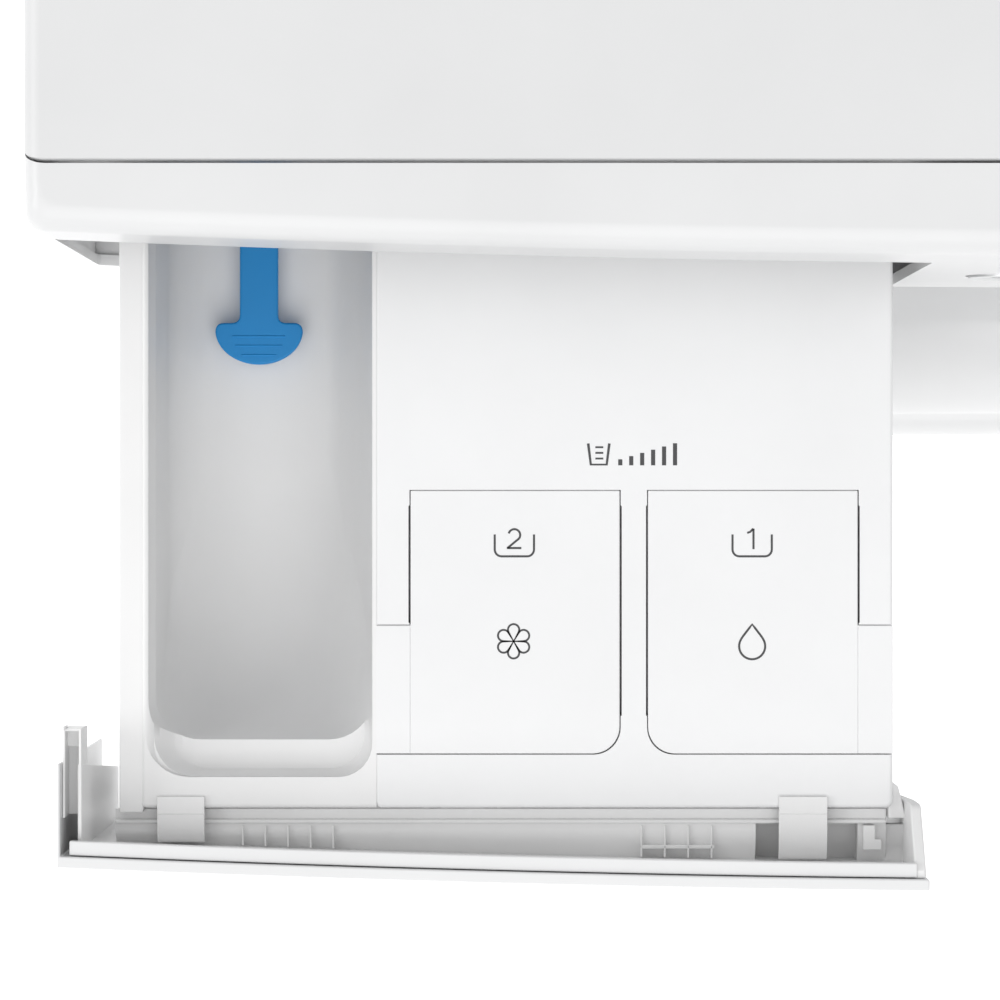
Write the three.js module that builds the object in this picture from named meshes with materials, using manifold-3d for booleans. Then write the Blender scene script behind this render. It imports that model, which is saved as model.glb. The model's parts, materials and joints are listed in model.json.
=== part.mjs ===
// Front load washing machine with its dosing drawer pulled out.
// Millimetres. +X to the right and +Y to the back as seen from the front, +Z up from the floor.
// The origin is on the floor, in the middle of the width and of the depth with the drawer out.
import * as THREE from 'three';
import { mergeVertices } from 'three/addons/utils/BufferGeometryUtils.js';
import Module from 'manifold-3d';

const wasm = await Module();
wasm.setup();

// ---------------------------------------------------------------- driving dimensions
const width = 598;
const height = 848;
const depth = 586;
const frontBow = 6.5;           // how far the middle of the front stands ahead of its ends
const sheet = 1.2;              // steel panels
const wall = 3;                 // moulded plastic walls
const gap = 0.3;                // between pieces that touch
const drawerTravel = 162;

// Levels above the floor
const cabinetBottom = 18;
const fasciaBottom = 708;
const drawerFrontTop = height - 35;
const trayTop = height - 60;
const trayBottom = trayTop - 70;
const worktopThickness = 26;

// Sides and depths
const half = width / 2;
const drawerFrontLeft = -half + 4.4;
const drawerFrontRight = drawerFrontLeft + 225.2;
const rearY = (depth + drawerTravel - bowBack(drawerFrontRight)) / 2;
const frontY = rearY - depth;   // foremost line of the bowed front, at mid width
const seamY = frontY + 23;      // where the worktop meets the fascia
const panelY = frontY + 16;     // front face of the front panel
const sideFrontY = panelY + 14;
const backPanelY = rearY - 14;  // outer face of the rear panel

// Drum, tub and door share one axis along Y
const axisZ = 430;
const drumRadius = 240;
const drumSides = 36;
const drumFront = frontY + 66;
const drumBack = drumFront + 340;
const tubRadius = 258;
const tubFront = drumFront - 25;
const tubSplit = drumFront + 150;
const tubBack = drumBack + 25;
const hubBack = tubBack + 47;
const shaftRadius = 14;
const pulleyRadius = 152;
const motorPulleyRadius = 12;
const pulleyY = hubBack + 10;
const beltWidth = 12;
const beltRoom = 1.6;           // the belt's facets dip inside its arc
const mouthRadius = 168;
const doorRadius = 232;
const doorFront = panelY - 50;
const hingeX = -doorRadius - 8;
const hingeY = panelY - 28;

// ---------------------------------------------------------------- solids and booleans

/** Turn a closed three.js geometry into a solid. */
function solid(geometry) {
  const bare = geometry.index ? geometry.clone() : geometry;
  bare.deleteAttribute('normal');
  bare.deleteAttribute('uv');
  const merged = mergeVertices(bare, 1e-3);
  const index = merged.index.array;
  const kept = [];
  for (let i = 0; i < index.length; i += 3) {
    const [a, b, c] = [index[i], index[i + 1], index[i + 2]];
    if (a !== b && b !== c && c !== a) kept.push(a, b, c);
  }
  return new wasm.Manifold(new wasm.Mesh({
    numProp: 3,
    vertProperties: new Float32Array(merged.attributes.position.array),
    triVerts: new Uint32Array(kept),
  }));
}

/** Turn a solid back into a geometry. */
function geometryOf(body) {
  const mesh = body.getMesh();
  const geometry = new THREE.BufferGeometry();
  geometry.setAttribute('position', new THREE.BufferAttribute(new Float32Array(mesh.vertProperties), 3));
  geometry.setIndex(new THREE.BufferAttribute(new Uint32Array(mesh.triVerts), 1));
  geometry.computeVertexNormals();
  return geometry;
}

const around = (middle, reach) => [middle - reach, middle + reach];
const grown = ([low, high], by) => [low - by, high + by];
const join = (first, ...others) => others.reduce((all, one) => all.add(one), first);
const cut = (first, ...others) => others.reduce((all, one) => all.subtract(one), first);
const common = (first, ...others) => others.reduce((all, one) => all.intersect(one), first);

/** A box between two ranges on each axis. */
function box([x0, x1], [y0, y1], [z0, z1]) {
  const geometry = new THREE.BoxGeometry(x1 - x0, y1 - y0, z1 - z0);
  return solid(geometry.translate((x0 + x1) / 2, (y0 + y1) / 2, (z0 + z1) / 2));
}

function outlineOf(points) {
  return new THREE.Shape(points.map(([u, v]) => new THREE.Vector2(u, v)));
}

function extruded(shape, length, curveSegments) {
  return new THREE.ExtrudeGeometry(shape, { depth: length, bevelEnabled: false, curveSegments });
}

/** Extrude an outline drawn in XY from z0 to z1. */
function upright(shape, [z0, z1], curveSegments = 4) {
  return solid(extruded(shape, z1 - z0, curveSegments).translate(0, 0, z0));
}

/** Extrude an outline drawn in XZ from y0 to y1. */
function frontToBack(shape, [y0, y1], curveSegments = 4) {
  return solid(extruded(shape, y1 - y0, curveSegments).rotateX(Math.PI / 2).translate(0, y1, 0));
}

/** Extrude an outline drawn in YZ from x0 to x1. */
function leftToRight(shape, [x0, x1], curveSegments = 4) {
  const turn = new THREE.Matrix4().makeBasis(
    new THREE.Vector3(0, 1, 0), new THREE.Vector3(0, 0, 1), new THREE.Vector3(1, 0, 0));
  return solid(extruded(shape, x1 - x0, curveSegments).applyMatrix4(turn).translate(x0, 0, 0));
}

/** A cylinder along Y, centred at x and z. */
function barrelY(radius, [y0, y1], x, z, sides = 16) {
  const geometry = new THREE.CylinderGeometry(radius, radius, y1 - y0, sides);
  return solid(geometry.translate(x, (y0 + y1) / 2, z));
}

/** A cylinder along Z, centred at x and y. */
function barrelZ(radius, [z0, z1], x, y, sides = 12) {
  const geometry = new THREE.CylinderGeometry(radius, radius, z1 - z0, sides);
  return solid(geometry.rotateX(Math.PI / 2).translate(x, y, (z0 + z1) / 2));
}

/** A cylinder along X, centred at y and z. */
function barrelX(radius, [x0, x1], y, z, sides = 12) {
  const geometry = new THREE.CylinderGeometry(radius, radius, x1 - x0, sides);
  return solid(geometry.rotateZ(Math.PI / 2).translate((x0 + x1) / 2, y, z));
}

/** Revolve a profile of [radius, y] points about a line along Y through x and z. */
function revolved(profile, x = 0, z = axisZ, sides = 32) {
  const points = profile.map(([radius, y]) => new THREE.Vector2(radius, y));
  if (profile[0][0] > 0) points.push(points[0].clone());
  if (THREE.ShapeUtils.area(points) < 0) points.reverse();
  return solid(new THREE.LatheGeometry(points, sides).translate(x, 0, z));
}

/** A rectangle with rounded corners. */
function roundedRectangle([u0, u1], [v0, v1], radius) {
  const shape = new THREE.Shape();
  shape.moveTo(u0 + radius, v0);
  shape.lineTo(u1 - radius, v0);
  shape.absarc(u1 - radius, v0 + radius, radius, -Math.PI / 2, 0);
  shape.lineTo(u1, v1 - radius);
  shape.absarc(u1 - radius, v1 - radius, radius, 0, Math.PI / 2);
  shape.lineTo(u0 + radius, v1);
  shape.absarc(u0 + radius, v1 - radius, radius, Math.PI / 2, Math.PI);
  shape.lineTo(u0, v0 + radius);
  shape.absarc(u0 + radius, v0 + radius, radius, Math.PI, Math.PI * 1.5);
  return shape;
}

/** A rectangle whose two upper corners are rounded, as seen from the front. */
function roundShouldered([u0, u1], [v0, v1], radius) {
  const shape = new THREE.Shape();
  shape.moveTo(u0, v0);
  shape.lineTo(u1, v0);
  shape.lineTo(u1, v1 - radius);
  shape.absarc(u1 - radius, v1 - radius, radius, 0, Math.PI / 2);
  shape.lineTo(u0 + radius, v1);
  shape.absarc(u0 + radius, v1 - radius, radius, Math.PI / 2, Math.PI);
  return shape;
}

// ---------------------------------------------------------------- the bowed front

/** How far the bowed front lies behind its foremost line at x. */
function bowBack(x) {
  return frontBow * (x / half) ** 2;
}

/** Points along the bowed front from x0 to x1, set back by an inset. */
function frontLine(x0, x1, inset, steps = 10) {
  const points = [];
  for (let i = 0; i <= steps; i += 1) {
    const x = x0 + (x1 - x0) * i / steps;
    points.push([x, frontY + bowBack(x) + inset]);
  }
  return points;
}

/** An upright plate that follows the bowed front, moved along Y by a shift. */
function bowedPlate([x0, x1], [inset0, inset1], [z0, z1], shift = 0) {
  const outline = [...frontLine(x0, x1, inset0), ...frontLine(x1, x0, inset1)];
  return upright(outlineOf(outline.map(([x, y]) => [x, y + shift])), [z0, z1]);
}

// ---------------------------------------------------------------- materials and scene

const finishes = {
  white_panel: { color: 0xeeeff0, roughness: 0.35 },
  white_plastic: { color: 0xf0f1f1, roughness: 0.4 },
  tray_plastic: { color: 0xe9ebec, roughness: 0.45 },
  blue_plastic: { color: 0x2f7fbd, roughness: 0.4 },
  dark_plastic: { color: 0x3a3c40, roughness: 0.5 },
  grey_plastic: { color: 0xa9adb1, roughness: 0.55 },
  silver_plastic: { color: 0xbcbfc2, roughness: 0.3, metalness: 0.6 },
  stainless: { color: 0xc4c7ca, roughness: 0.25, metalness: 1 },
  steel: { color: 0x8d9196, roughness: 0.4, metalness: 1 },
  aluminium: { color: 0xb4b7ba, roughness: 0.45, metalness: 1 },
  rubber: { color: 0x6d7073, roughness: 0.8 },
  black_rubber: { color: 0x1d1e20, roughness: 0.85 },
  concrete: { color: 0x8b8984, roughness: 0.95 },
  glass: { color: 0xcfd8da, roughness: 0.05, transparent: true, opacity: 0.35 },
  smoked_glass: { color: 0x15171a, roughness: 0.1 },
  circuit: { color: 0x2c5a3c, roughness: 0.6 },
};

const machine = new THREE.Group();

/** Put one named piece into the machine. */
function add(name, body, finish) {
  const mesh = new THREE.Mesh(geometryOf(body), new THREE.MeshStandardMaterial(finishes[finish]));
  mesh.name = name;
  machine.add(mesh);
}

// ---------------------------------------------------------------- cabinet

function addFeet() {
  const padRadius = 22;
  const places = { front_left: [-1, -1], front_right: [1, -1], rear_left: [-1, 1], rear_right: [1, 1] };
  for (const [place, [sideX, sideY]] of Object.entries(places)) {
    const [x, y] = footPlace(sideX, sideY);
    const profile = [[0, 0], [padRadius, 0], [padRadius, 6], [12, 12], [6, 14], [6, 46], [0, 46]];
    const points = profile.map(([radius, z]) => new THREE.Vector2(radius, z));
    const foot = solid(new THREE.LatheGeometry(points, 20).rotateX(Math.PI / 2).translate(x, y, 0));
    add(`foot_${place}`, foot, 'black_rubber');
  }
}

function footPlace(sideX, sideY) {
  const middle = (sideFrontY + backPanelY) / 2;
  const reach = (backPanelY - sideFrontY) / 2 - 45;
  return [sideX * (half - 45), middle + sideY * reach];
}

function addBaseFrame() {
  const floor = 4;
  const rim = cabinetBottom + 42;
  const outer = box([-half + 2, half - 2], [sideFrontY + 3, backPanelY - 3], [cabinetBottom, rim]);
  const insideY = [sideFrontY + 9, backPanelY - 9];
  const inside = box(around(0, half - 8), insideY, [cabinetBottom + floor, rim + 1]);
  const drip = box([-120, 120], [-40, 200], [cabinetBottom - 1, cabinetBottom + floor + 1]);
  const holes = [[-1, -1], [1, -1], [-1, 1], [1, 1]].map(([sideX, sideY]) => {
    const [x, y] = footPlace(sideX, sideY);
    return barrelZ(7, [cabinetBottom - 1, cabinetBottom + 6], x, y);
  });
  add('base_frame', cut(outer, inside, drip, ...holes), 'grey_plastic');
}

/** A side panel with its folded front and rear edges and the bracket that a spring hangs from. */
function sidePanel(side) {
  const outer = side * half;
  const span = (from, to) => (side < 0 ? [outer + from, outer + to] : [outer - to, outer - from]);
  const low = cabinetBottom + 6;
  const high = height - worktopThickness - gap;
  const skin = box(span(0, sheet), [sideFrontY, backPanelY - sheet - gap], [low, high]);
  const frontFold = box(span(0, 20), [sideFrontY, sideFrontY + sheet], [70, 700]);
  const rearFold = box(span(0, 16), [backPanelY - 2 * sheet - gap, backPanelY - sheet - gap], [70, high]);
  const hanger = box(span(0, 54), [springY - 12, springY + 12], [springTop + gap, springTop + gap + 4]);
  return join(skin, frontFold, rearFold, hanger);
}

function addRearPanel() {
  const plateZ = [66, height - worktopThickness - 1];
  const plate = box(around(0, half - 2), [backPanelY - sheet, backPanelY], plateZ);
  const port = roundedRectangle([-205, 205], [130, 690], 70);
  const valveHole = barrelY(17, [backPanelY - 5, backPanelY + 5], valveX, valveZ);
  const outletHole = box(grown(outletX, -8), around(backPanelY, 5), grown(outletZ, -8));
  const opening = frontToBack(port, [backPanelY - 5, backPanelY + 5]);
  add('rear_panel', cut(plate, opening, valveHole, outletHole), 'white_panel');
}

/** The bulged cover over the belt and pulley. */
function addRearServiceCover() {
  const front = backPanelY + gap;
  const back = rearY - 2;
  const rim = frontToBack(roundedRectangle([-215, 215], [120, 700], 78), [front, front + sheet]);
  const bulge = frontToBack(roundedRectangle([-190, 190], [145, 675], 62), [front, back]);
  const inside = frontToBack(roundedRectangle([-188, 188], [147, 673], 60), [front - 1, back - sheet]);
  add('rear_service_cover', cut(join(rim, bulge), inside), 'white_panel');
}

const flapX = [160, 250];
const flapZ = [66, 132];
const lockX = 202;

/** The front panel with its mouth, the slot for the door hook and the opening of the service flap. */
function addFrontPanel() {
  const low = cabinetBottom + 6;
  const high = fasciaBottom - 2;
  const through = around(panelY, 5);
  const folded = roundedRectangle(around(0, half - 1), [panelY, panelY + 60], 8);
  const outer = common(
    upright(folded, [low, high]), box(around(0, half), [panelY, sideFrontY - gap], [low, high]));
  const lining = roundedRectangle(around(0, half - 1 - sheet), [panelY + sheet, panelY + 60], 8 - sheet);
  const inside = upright(lining, [low - 1, high + 1]);
  const mouth = barrelY(mouthRadius, through, 0, axisZ, 36);
  const hookSlot = box(around(lockX, 9), through, around(axisZ, 16));
  const flapOpening = box(flapX, through, flapZ);
  add('front_panel', cut(outer, inside, mouth, hookSlot, flapOpening), 'white_panel');
}

function addWorktop() {
  const section = roundShouldered([-half, half], [height - worktopThickness, height], 6);
  add('worktop', frontToBack(section, [seamY + gap, backPanelY + 3]), 'white_panel');
}

const knobX = 0;
const knobZ = (fasciaBottom + drawerFrontTop) / 2;
const displayX = [62, 196];
const displayZ = [knobZ - 27, knobZ + 27];
const powerX = -44;
const startX = 236;
const buttonRadius = 9;

/** The bowed control panel: top strip, front wall and openings for the drawer and the controls. */
function addControlFascia() {
  const corner = 6.2;
  const edgeY = frontY + frontBow;
  const plan = new THREE.Shape();
  plan.moveTo(-half, seamY);
  plan.lineTo(-half, edgeY + corner);
  plan.quadraticCurveTo(-half, edgeY + 0.3, -half + corner, frontY + bowBack(-half + corner));
  for (const [x, y] of frontLine(-half + corner, half - corner, 0).slice(1)) plan.lineTo(x, y);
  plan.quadraticCurveTo(half, edgeY + 0.3, half, edgeY + corner);
  plan.lineTo(half, seamY);
  const section = roundShouldered([-half, half], [fasciaBottom, height], 6);
  const outer = common(upright(plan, [fasciaBottom, height], 5), frontToBack(section, [frontY - 5, seamY]));
  const insideX = around(0, half - wall);
  const inside = [...frontLine(...insideX, wall), [insideX[1], seamY + 5], [insideX[0], seamY + 5]];
  const hollow = common(
    upright(outlineOf(inside), [fasciaBottom + wall, height - wall]),
    frontToBack(roundShouldered(insideX, [fasciaBottom, height - wall], 4), [frontY, seamY + 5]));
  const through = [frontY - 5, frontY + 12];
  const drawerHole = box(
    grown([drawerFrontLeft, drawerFrontRight], 0.6), through, [fasciaBottom + 4.4, drawerFrontTop + 0.6]);
  const displayHole = frontToBack(roundedRectangle(displayX, displayZ, 4), through);
  const holes = [[knobX, 10], [powerX, buttonRadius + 0.5], [startX, buttonRadius + 0.5]].map(
    ([x, radius]) => barrelY(radius, through, x, knobZ, 20));
  add('control_fascia', cut(outer, hollow, drawerHole, displayHole, ...holes), 'white_plastic');
}

function addDisplayAndBoard() {
  const pane = roundedRectangle(grown(displayX, -gap), grown(displayZ, -gap), 4);
  const window = frontToBack(pane, [frontY + 0.4, frontY + bowBack(displayX[1]) + 3]);
  add('display_window', window, 'smoked_glass');
  const board = box(grown(displayX, 10), [frontY + 12, frontY + 13.6], grown(displayZ, 5));
  const parts = box(grown(displayX, -25), [frontY + 8, frontY + 12.5], grown(displayZ, -8));
  add('control_board', join(board, parts), 'circuit');
}

function addControls() {
  const grip = [[0, frontY - 24], [24, frontY - 24], [26, frontY - 21], [28, frontY - 0.6],
    [9, frontY - 0.6], [9, frontY + 10], [0, frontY + 10]];
  const pointer = box([knobX - 1.5, knobX + 1.5], [frontY - 25, frontY - 22], [knobZ + 10, knobZ + 22]);
  add('program_knob', join(revolved(grip, knobX, knobZ, 24), pointer), 'silver_plastic');
  for (const [name, x] of [['power_button', powerX], ['start_button', startX]]) {
    const face = frontY + bowBack(x) - 0.8;
    add(name, barrelY(buttonRadius, [face, face + 9], x, knobZ, 20), 'silver_plastic');
  }
}

// ---------------------------------------------------------------- water and power

const valveX = 235;
const valveZ = 770;
const outletX = [-265, -205];
const outletZ = [700, 790];
const housingX = [-half + 11.5, drawerFrontRight + 3.4];
const housingZ = [trayBottom - 7, drawerFrontTop - 1];
const housingY = [seamY + 3, seamY + 336];
const hoseX = -180;
const hoseY = 60;

/** The drawer's housing: a box open to the front, with a spout at its bottom. */
function addDispenserHousing() {
  const thick = 2.5;
  const outer = box(housingX, housingY, housingZ);
  const inside = box([housingX[0] + thick, housingX[1] - thick], [housingY[0] - 1, housingY[1] - thick],
    [housingZ[0] + thick, housingZ[1] - thick]);
  const spout = barrelZ(18, [housingZ[0] - 6, housingZ[0] + 1], hoseX, hoseY);
  const drain = barrelZ(14, [housingZ[0] - 7, housingZ[0] + 3], hoseX, hoseY);
  add('dispenser_housing', cut(join(outer, spout), inside, drain), 'grey_plastic');
}

function addHoses() {
  const tubTop = axisZ + Math.sqrt(tubRadius ** 2 - (hoseX + 18) ** 2);
  add('fill_hose', barrelZ(18, [tubTop + 3, housingZ[0] - 6 - gap], hoseX, hoseY, 16), 'rubber');
  const start = new THREE.Vector3(120, pumpMiddleY, 193);
  const bend = new THREE.Vector3(120, pumpMiddleY, pumpZ);
  const end = new THREE.Vector3(pumpX - pumpRadius - gap, pumpMiddleY, pumpZ);
  const path = new THREE.QuadraticBezierCurve3(start, bend, end);
  const section = new THREE.Shape();
  section.absarc(0, 0, 13, 0, Math.PI * 2);
  const tube = new THREE.ExtrudeGeometry(section, { extrudePath: path, steps: 8, curveSegments: 5 });
  add('sump_hose', solid(tube), 'rubber');
}

/** The inlet valve: a body behind the rear panel and a threaded spigot through it. */
function addInletValve() {
  const body = box(around(valveX, 20), [backPanelY - 62, backPanelY - 12], around(valveZ, 22));
  const spigot = barrelY(13, [backPanelY - 13, rearY], valveX, valveZ);
  const collar = barrelY(16.5, [backPanelY - 13, backPanelY - 2], valveX, valveZ);
  const bore = barrelY(8, [rearY - 16, rearY + 1], valveX, valveZ, 16);
  const coils = box(around(valveX - 10, 8), around(backPanelY - 35, 15), [valveZ + 21, valveZ + 40]);
  add('inlet_valve', cut(join(body, spigot, collar, coils), bore), 'white_plastic');
}

/** The plate with the drain spigot and the mains lead's gland. */
function addOutletPlate() {
  const [low, high] = outletZ;
  const middle = (outletX[0] + outletX[1]) / 2;
  const plate = frontToBack(roundedRectangle(outletX, outletZ, 10), [backPanelY + gap, backPanelY + 4]);
  const spigot = barrelY(12, [backPanelY + 3, rearY - 1], middle, high - 26);
  const spigotBore = barrelY(9, [backPanelY - 1, rearY], middle, high - 26, 16);
  const gland = barrelY(9, [backPanelY + 3, rearY - 3], middle, low + 20, 16);
  const glandBore = barrelY(4.5, [backPanelY - 1, rearY], middle, low + 20, 12);
  add('outlet_plate', cut(join(plate, spigot, gland), spigotBore, glandBore), 'grey_plastic');
}

const pumpX = (flapX[0] + flapX[1]) / 2;
const pumpZ = (flapZ[0] + flapZ[1]) / 2;
const pumpRadius = 29;
const pumpFront = panelY + 16;
const pumpMiddleY = pumpFront + 60;

/** The drain pump: filter barrel to the front, motor to the back, on a leg to the base. */
function addDrainPump() {
  const barrel = barrelY(pumpRadius, [pumpFront, pumpFront + 90], pumpX, pumpZ);
  const motor = barrelY(22, [pumpFront + 89, pumpFront + 145], pumpX, pumpZ);
  const legZ = [cabinetBottom + 4 + gap, pumpZ - 20];
  const leg = box(around(pumpX, 20), around(pumpFront + 70, 40), legZ);
  const bore = barrelY(25, [pumpFront - 1, pumpFront + 70], pumpX, pumpZ);
  add('drain_pump', cut(join(barrel, motor, leg), bore), 'grey_plastic');
  const rim = barrelY(28, [pumpFront - 6, pumpFront - gap], pumpX, pumpZ);
  const grip = box(around(pumpX, 20), [pumpFront - 12, pumpFront - 5], around(pumpZ, 4));
  const plug = barrelY(22, [pumpFront - 1, pumpFront + 40], pumpX, pumpZ);
  add('filter_cap', join(rim, grip, plug), 'dark_plastic');
}

function addPumpFlap() {
  const clearance = 0.6;
  const door = box(grown(flapX, -clearance), [panelY, panelY + 2], grown(flapZ, -clearance));
  const pull = box(around(pumpX, 14), around(panelY, 1), around(flapZ[1] - 7, 2));
  add('pump_flap', cut(door, pull), 'white_plastic');
}

// ---------------------------------------------------------------- tub and drive

const springX = 262;
const springY = 30;
const springTop = 694;
const springBottom = 556;
const damperX = 168;
const damperY = 30;
const damperTop = 226;

/** The front half of the tub, with the neck that the door seal grips. */
function addTubFront() {
  const inner = tubRadius - 4;
  const profile = [[172, tubFront], [176, tubFront], [178, tubFront + 12], [tubRadius - 14, tubFront + 14],
    [tubRadius, tubFront + 28], [tubRadius, tubSplit - gap / 2], [inner, tubSplit - gap / 2],
    [inner, tubFront + 30], [tubRadius - 16, tubFront + 18], [172, tubFront + 16]];
  add('tub_front', revolved(profile), 'grey_plastic');
}

/** The rear half of the tub, with its bearing hub and the lugs for springs and dampers. */
function addTubRear() {
  const inner = tubRadius - 4;
  const profile = [[tubRadius, tubSplit + gap / 2], [tubRadius, tubBack - 16], [tubRadius - 16, tubBack],
    [70, tubBack], [46, hubBack - 6], [46, hubBack], [30, hubBack], [30, tubBack - 4],
    [tubRadius - 18, tubBack - 4], [inner, tubBack - 18], [inner, tubSplit + gap / 2]];
  const lugs = [];
  for (const side of [-1, 1]) {
    const across = (near, far) => (side < 0 ? [-far, -near] : [near, far]);
    const lugY = around(springY, 10);
    lugs.push(box(across(205, springX + 12), lugY, [springBottom - 14, springBottom - gap]));
    lugs.push(box(around(side * damperX, 12), lugY, [damperTop + gap, 244]));
  }
  const holeY = [tubBack - 30, tubBack + 3];
  const heaterHoles = around(0, heaterHalf).map((x) => barrelY(5, holeY, x, heaterZ, 8));
  const drumSpace = barrelY(inner - 0.5, [tubSplit, tubBack - 20], 0, axisZ, 32);
  add('tub_rear', cut(join(revolved(profile), ...lugs), drumSpace, ...heaterHoles), 'grey_plastic');
}

const heaterHalf = 22;
const heaterZ = axisZ - 245;

/** The heating rod: a hairpin in the tub with its flange outside the rear wall. */
function addHeater() {
  const front = tubSplit + 20;
  const rods = around(0, heaterHalf).map((x) => barrelY(3, [front, tubBack + 1], x, heaterZ, 10));
  const bend = barrelX(3, around(0, heaterHalf), front, heaterZ, 10);
  const flange = box(around(0, heaterHalf + 12), [tubBack + gap, tubBack + 8], around(heaterZ + 5, 9));
  add('heater', join(...rods, bend, flange), 'stainless');
}

/** A concrete block that lies on the tub's shoulder. */
function addCounterweight() {
  const seat = tubRadius + gap;
  const from = THREE.MathUtils.degToRad(42);
  const to = THREE.MathUtils.degToRad(100);
  const shape = new THREE.Shape();
  shape.absarc(0, axisZ, seat, from, to);
  shape.lineTo(-40, 728);
  shape.lineTo(160, 728);
  shape.lineTo(seat * Math.cos(from) + 25, axisZ + seat * Math.sin(from) + 30);
  add('counterweight', frontToBack(shape, [-110, 60], 10), 'concrete');
}

function addSprings() {
  for (const [name, side] of [['spring_left', -1], ['spring_right', 1]]) {
    add(name, barrelZ(13, [springBottom, springTop], side * springX, springY, 12), 'steel');
  }
}

/** Friction dampers: a tube on the base and a rod on the tub. */
function addDampers() {
  const tubeTop = 152;
  for (const [name, side] of [['left', -1], ['right', 1]]) {
    const x = side * damperX;
    const tube = barrelZ(14, [cabinetBottom + 4 + gap, tubeTop], x, damperY, 16);
    const bore = barrelZ(7.5, [cabinetBottom + 12, tubeTop + 1], x, damperY, 16);
    add(`damper_tube_${name}`, cut(tube, bore), 'dark_plastic');
    add(`damper_rod_${name}`, barrelZ(6, [70, damperTop], x, damperY, 12), 'steel');
  }
}

const motorX = -60;
const motorZ = 112;

/** The motor, its pulley and the belt to the drum. */
function addDrive() {
  const motorBack = pulleyY - 14;
  const shell = barrelY(54, [motorBack - 125, motorBack], motorX, motorZ, 24);
  const shaftHole = barrelY(8, [motorBack - 6, motorBack + 1], motorX, motorZ, 16);
  const ears = box(around(motorX, 66), [motorBack - 100, motorBack - 30], [motorZ + 10, motorZ + 24]);
  add('motor_housing', cut(join(shell, ears), shaftHole), 'dark_plastic');
  const shaft = barrelY(6, [motorBack - 4, pulleyY + beltWidth + 4], motorX, motorZ, 16);
  const pulley = barrelY(motorPulleyRadius - gap, [pulleyY - 2, pulleyY + beltWidth + 2], motorX, motorZ, 20);
  add('motor_rotor', join(shaft, pulley), 'steel');
  const outer = beltLoop(3);
  outer.holes.push(beltLoop(0));
  add('drive_belt', frontToBack(outer, [pulleyY, pulleyY + beltWidth], 12), 'black_rubber');
}

/** The loop round both pulleys, grown by an offset. */
function beltLoop(offset) {
  const across = Math.hypot(motorX, axisZ - motorZ);
  const towards = Math.atan2(motorZ - axisZ, motorX);
  const lean = Math.acos((pulleyRadius - motorPulleyRadius) / across);
  const loop = new THREE.Shape();
  loop.absarc(0, axisZ, pulleyRadius + offset, towards + lean, towards - lean + Math.PI * 2);
  loop.absarc(motorX, motorZ, motorPulleyRadius + offset, towards - lean, towards + lean);
  return loop;
}

function addShaftBearing() {
  const profile = [[shaftRadius + gap, tubBack - 2], [30 - gap, tubBack - 2],
    [30 - gap, hubBack - 1], [shaftRadius + gap, hubBack - 1]];
  add('shaft_bearing', revolved(profile, 0, axisZ, 20), 'steel');
}

// ---------------------------------------------------------------- drum

function addDrum() {
  const lip = 150;
  const inner = drumRadius - sheet;
  const shell = [[0, drumBack - sheet], [drumRadius - 9, drumBack - sheet], [inner, drumBack - 9],
    [inner, drumFront + 9], [drumRadius - 9, drumFront + sheet], [lip, drumFront + sheet],
    [lip, drumFront - 8], [lip + 12, drumFront - 8], [lip + 18, drumFront], [drumRadius - 8, drumFront],
    [drumRadius, drumFront + 8], [drumRadius, drumBack - 8], [drumRadius - 8, drumBack], [0, drumBack]];
  add('drum_shell', revolved(shell, 0, axisZ, drumSides), 'stainless');
  for (let i = 0; i < 3; i += 1) add(`paddle_${i + 1}`, paddle(i * 120 + 30), 'grey_plastic');
}

/** A lifter on the drum wall, at an angle about the axis. */
function paddle(degrees) {
  const seat = (drumRadius - sheet) * Math.cos(Math.PI / drumSides) - gap;
  const spread = 0.13;
  const shape = new THREE.Shape();
  shape.absarc(0, 0, seat, -spread, spread);
  shape.quadraticCurveTo(seat - 18, seat * spread * 0.5, seat - 44, 9);
  shape.lineTo(seat - 44, -9);
  shape.quadraticCurveTo(
    seat - 18, -seat * spread * 0.5, seat * Math.cos(spread), -seat * Math.sin(spread));
  const geometry = extruded(shape, 280, 6).rotateX(Math.PI / 2).rotateY(THREE.MathUtils.degToRad(degrees));
  return solid(geometry.translate(0, drumBack - 20, axisZ));
}

/** The three-armed casting behind the drum, with the shaft through the hub. */
function addSpider() {
  const back = drumBack + gap;
  const shaft = barrelY(shaftRadius, [back + 4, pulleyY + beltWidth + 2], 0, axisZ);
  const boss = revolved([[0, back], [34, back], [26, back + 19], [0, back + 19]], 0, axisZ, 24);
  const arms = [0, 1, 2].map((i) => {
    const blade = new THREE.BoxGeometry(205, 12, 30).translate(115, back + 6, 0);
    return solid(blade.rotateY(THREE.MathUtils.degToRad(i * 120 + 30)).translate(0, 0, axisZ));
  });
  add('drum_spider', join(shaft, boss, ...arms), 'aluminium');
  const pulley = [[shaftRadius + gap, pulleyY - 6], [28, pulleyY - 6], [28, pulleyY + 3], [140, pulleyY + 3],
    [140, pulleyY - 2], [pulleyRadius - beltRoom, pulleyY - 2],
    [pulleyRadius - beltRoom, pulleyY + beltWidth + 2],
    [140, pulleyY + beltWidth + 2], [140, pulleyY + 8], [28, pulleyY + 8], [28, pulleyY + 13],
    [shaftRadius + gap, pulleyY + 13]];
  add('drum_pulley', revolved(pulley), 'aluminium');
}

// ---------------------------------------------------------------- door

/** The rubber bellows between the front panel and the tub. */
function addDoorGasket() {
  const front = panelY + sheet + gap;
  const profile = [[151, front], [178, front], [178, front + 5], [164, front + 9], [164, front + 13],
    [182, tubFront - 1.5], [182, tubFront - gap], [158, tubFront - gap], [157, front + 6], [151, front + 4]];
  add('door_gasket', revolved(profile), 'rubber');
}

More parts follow.
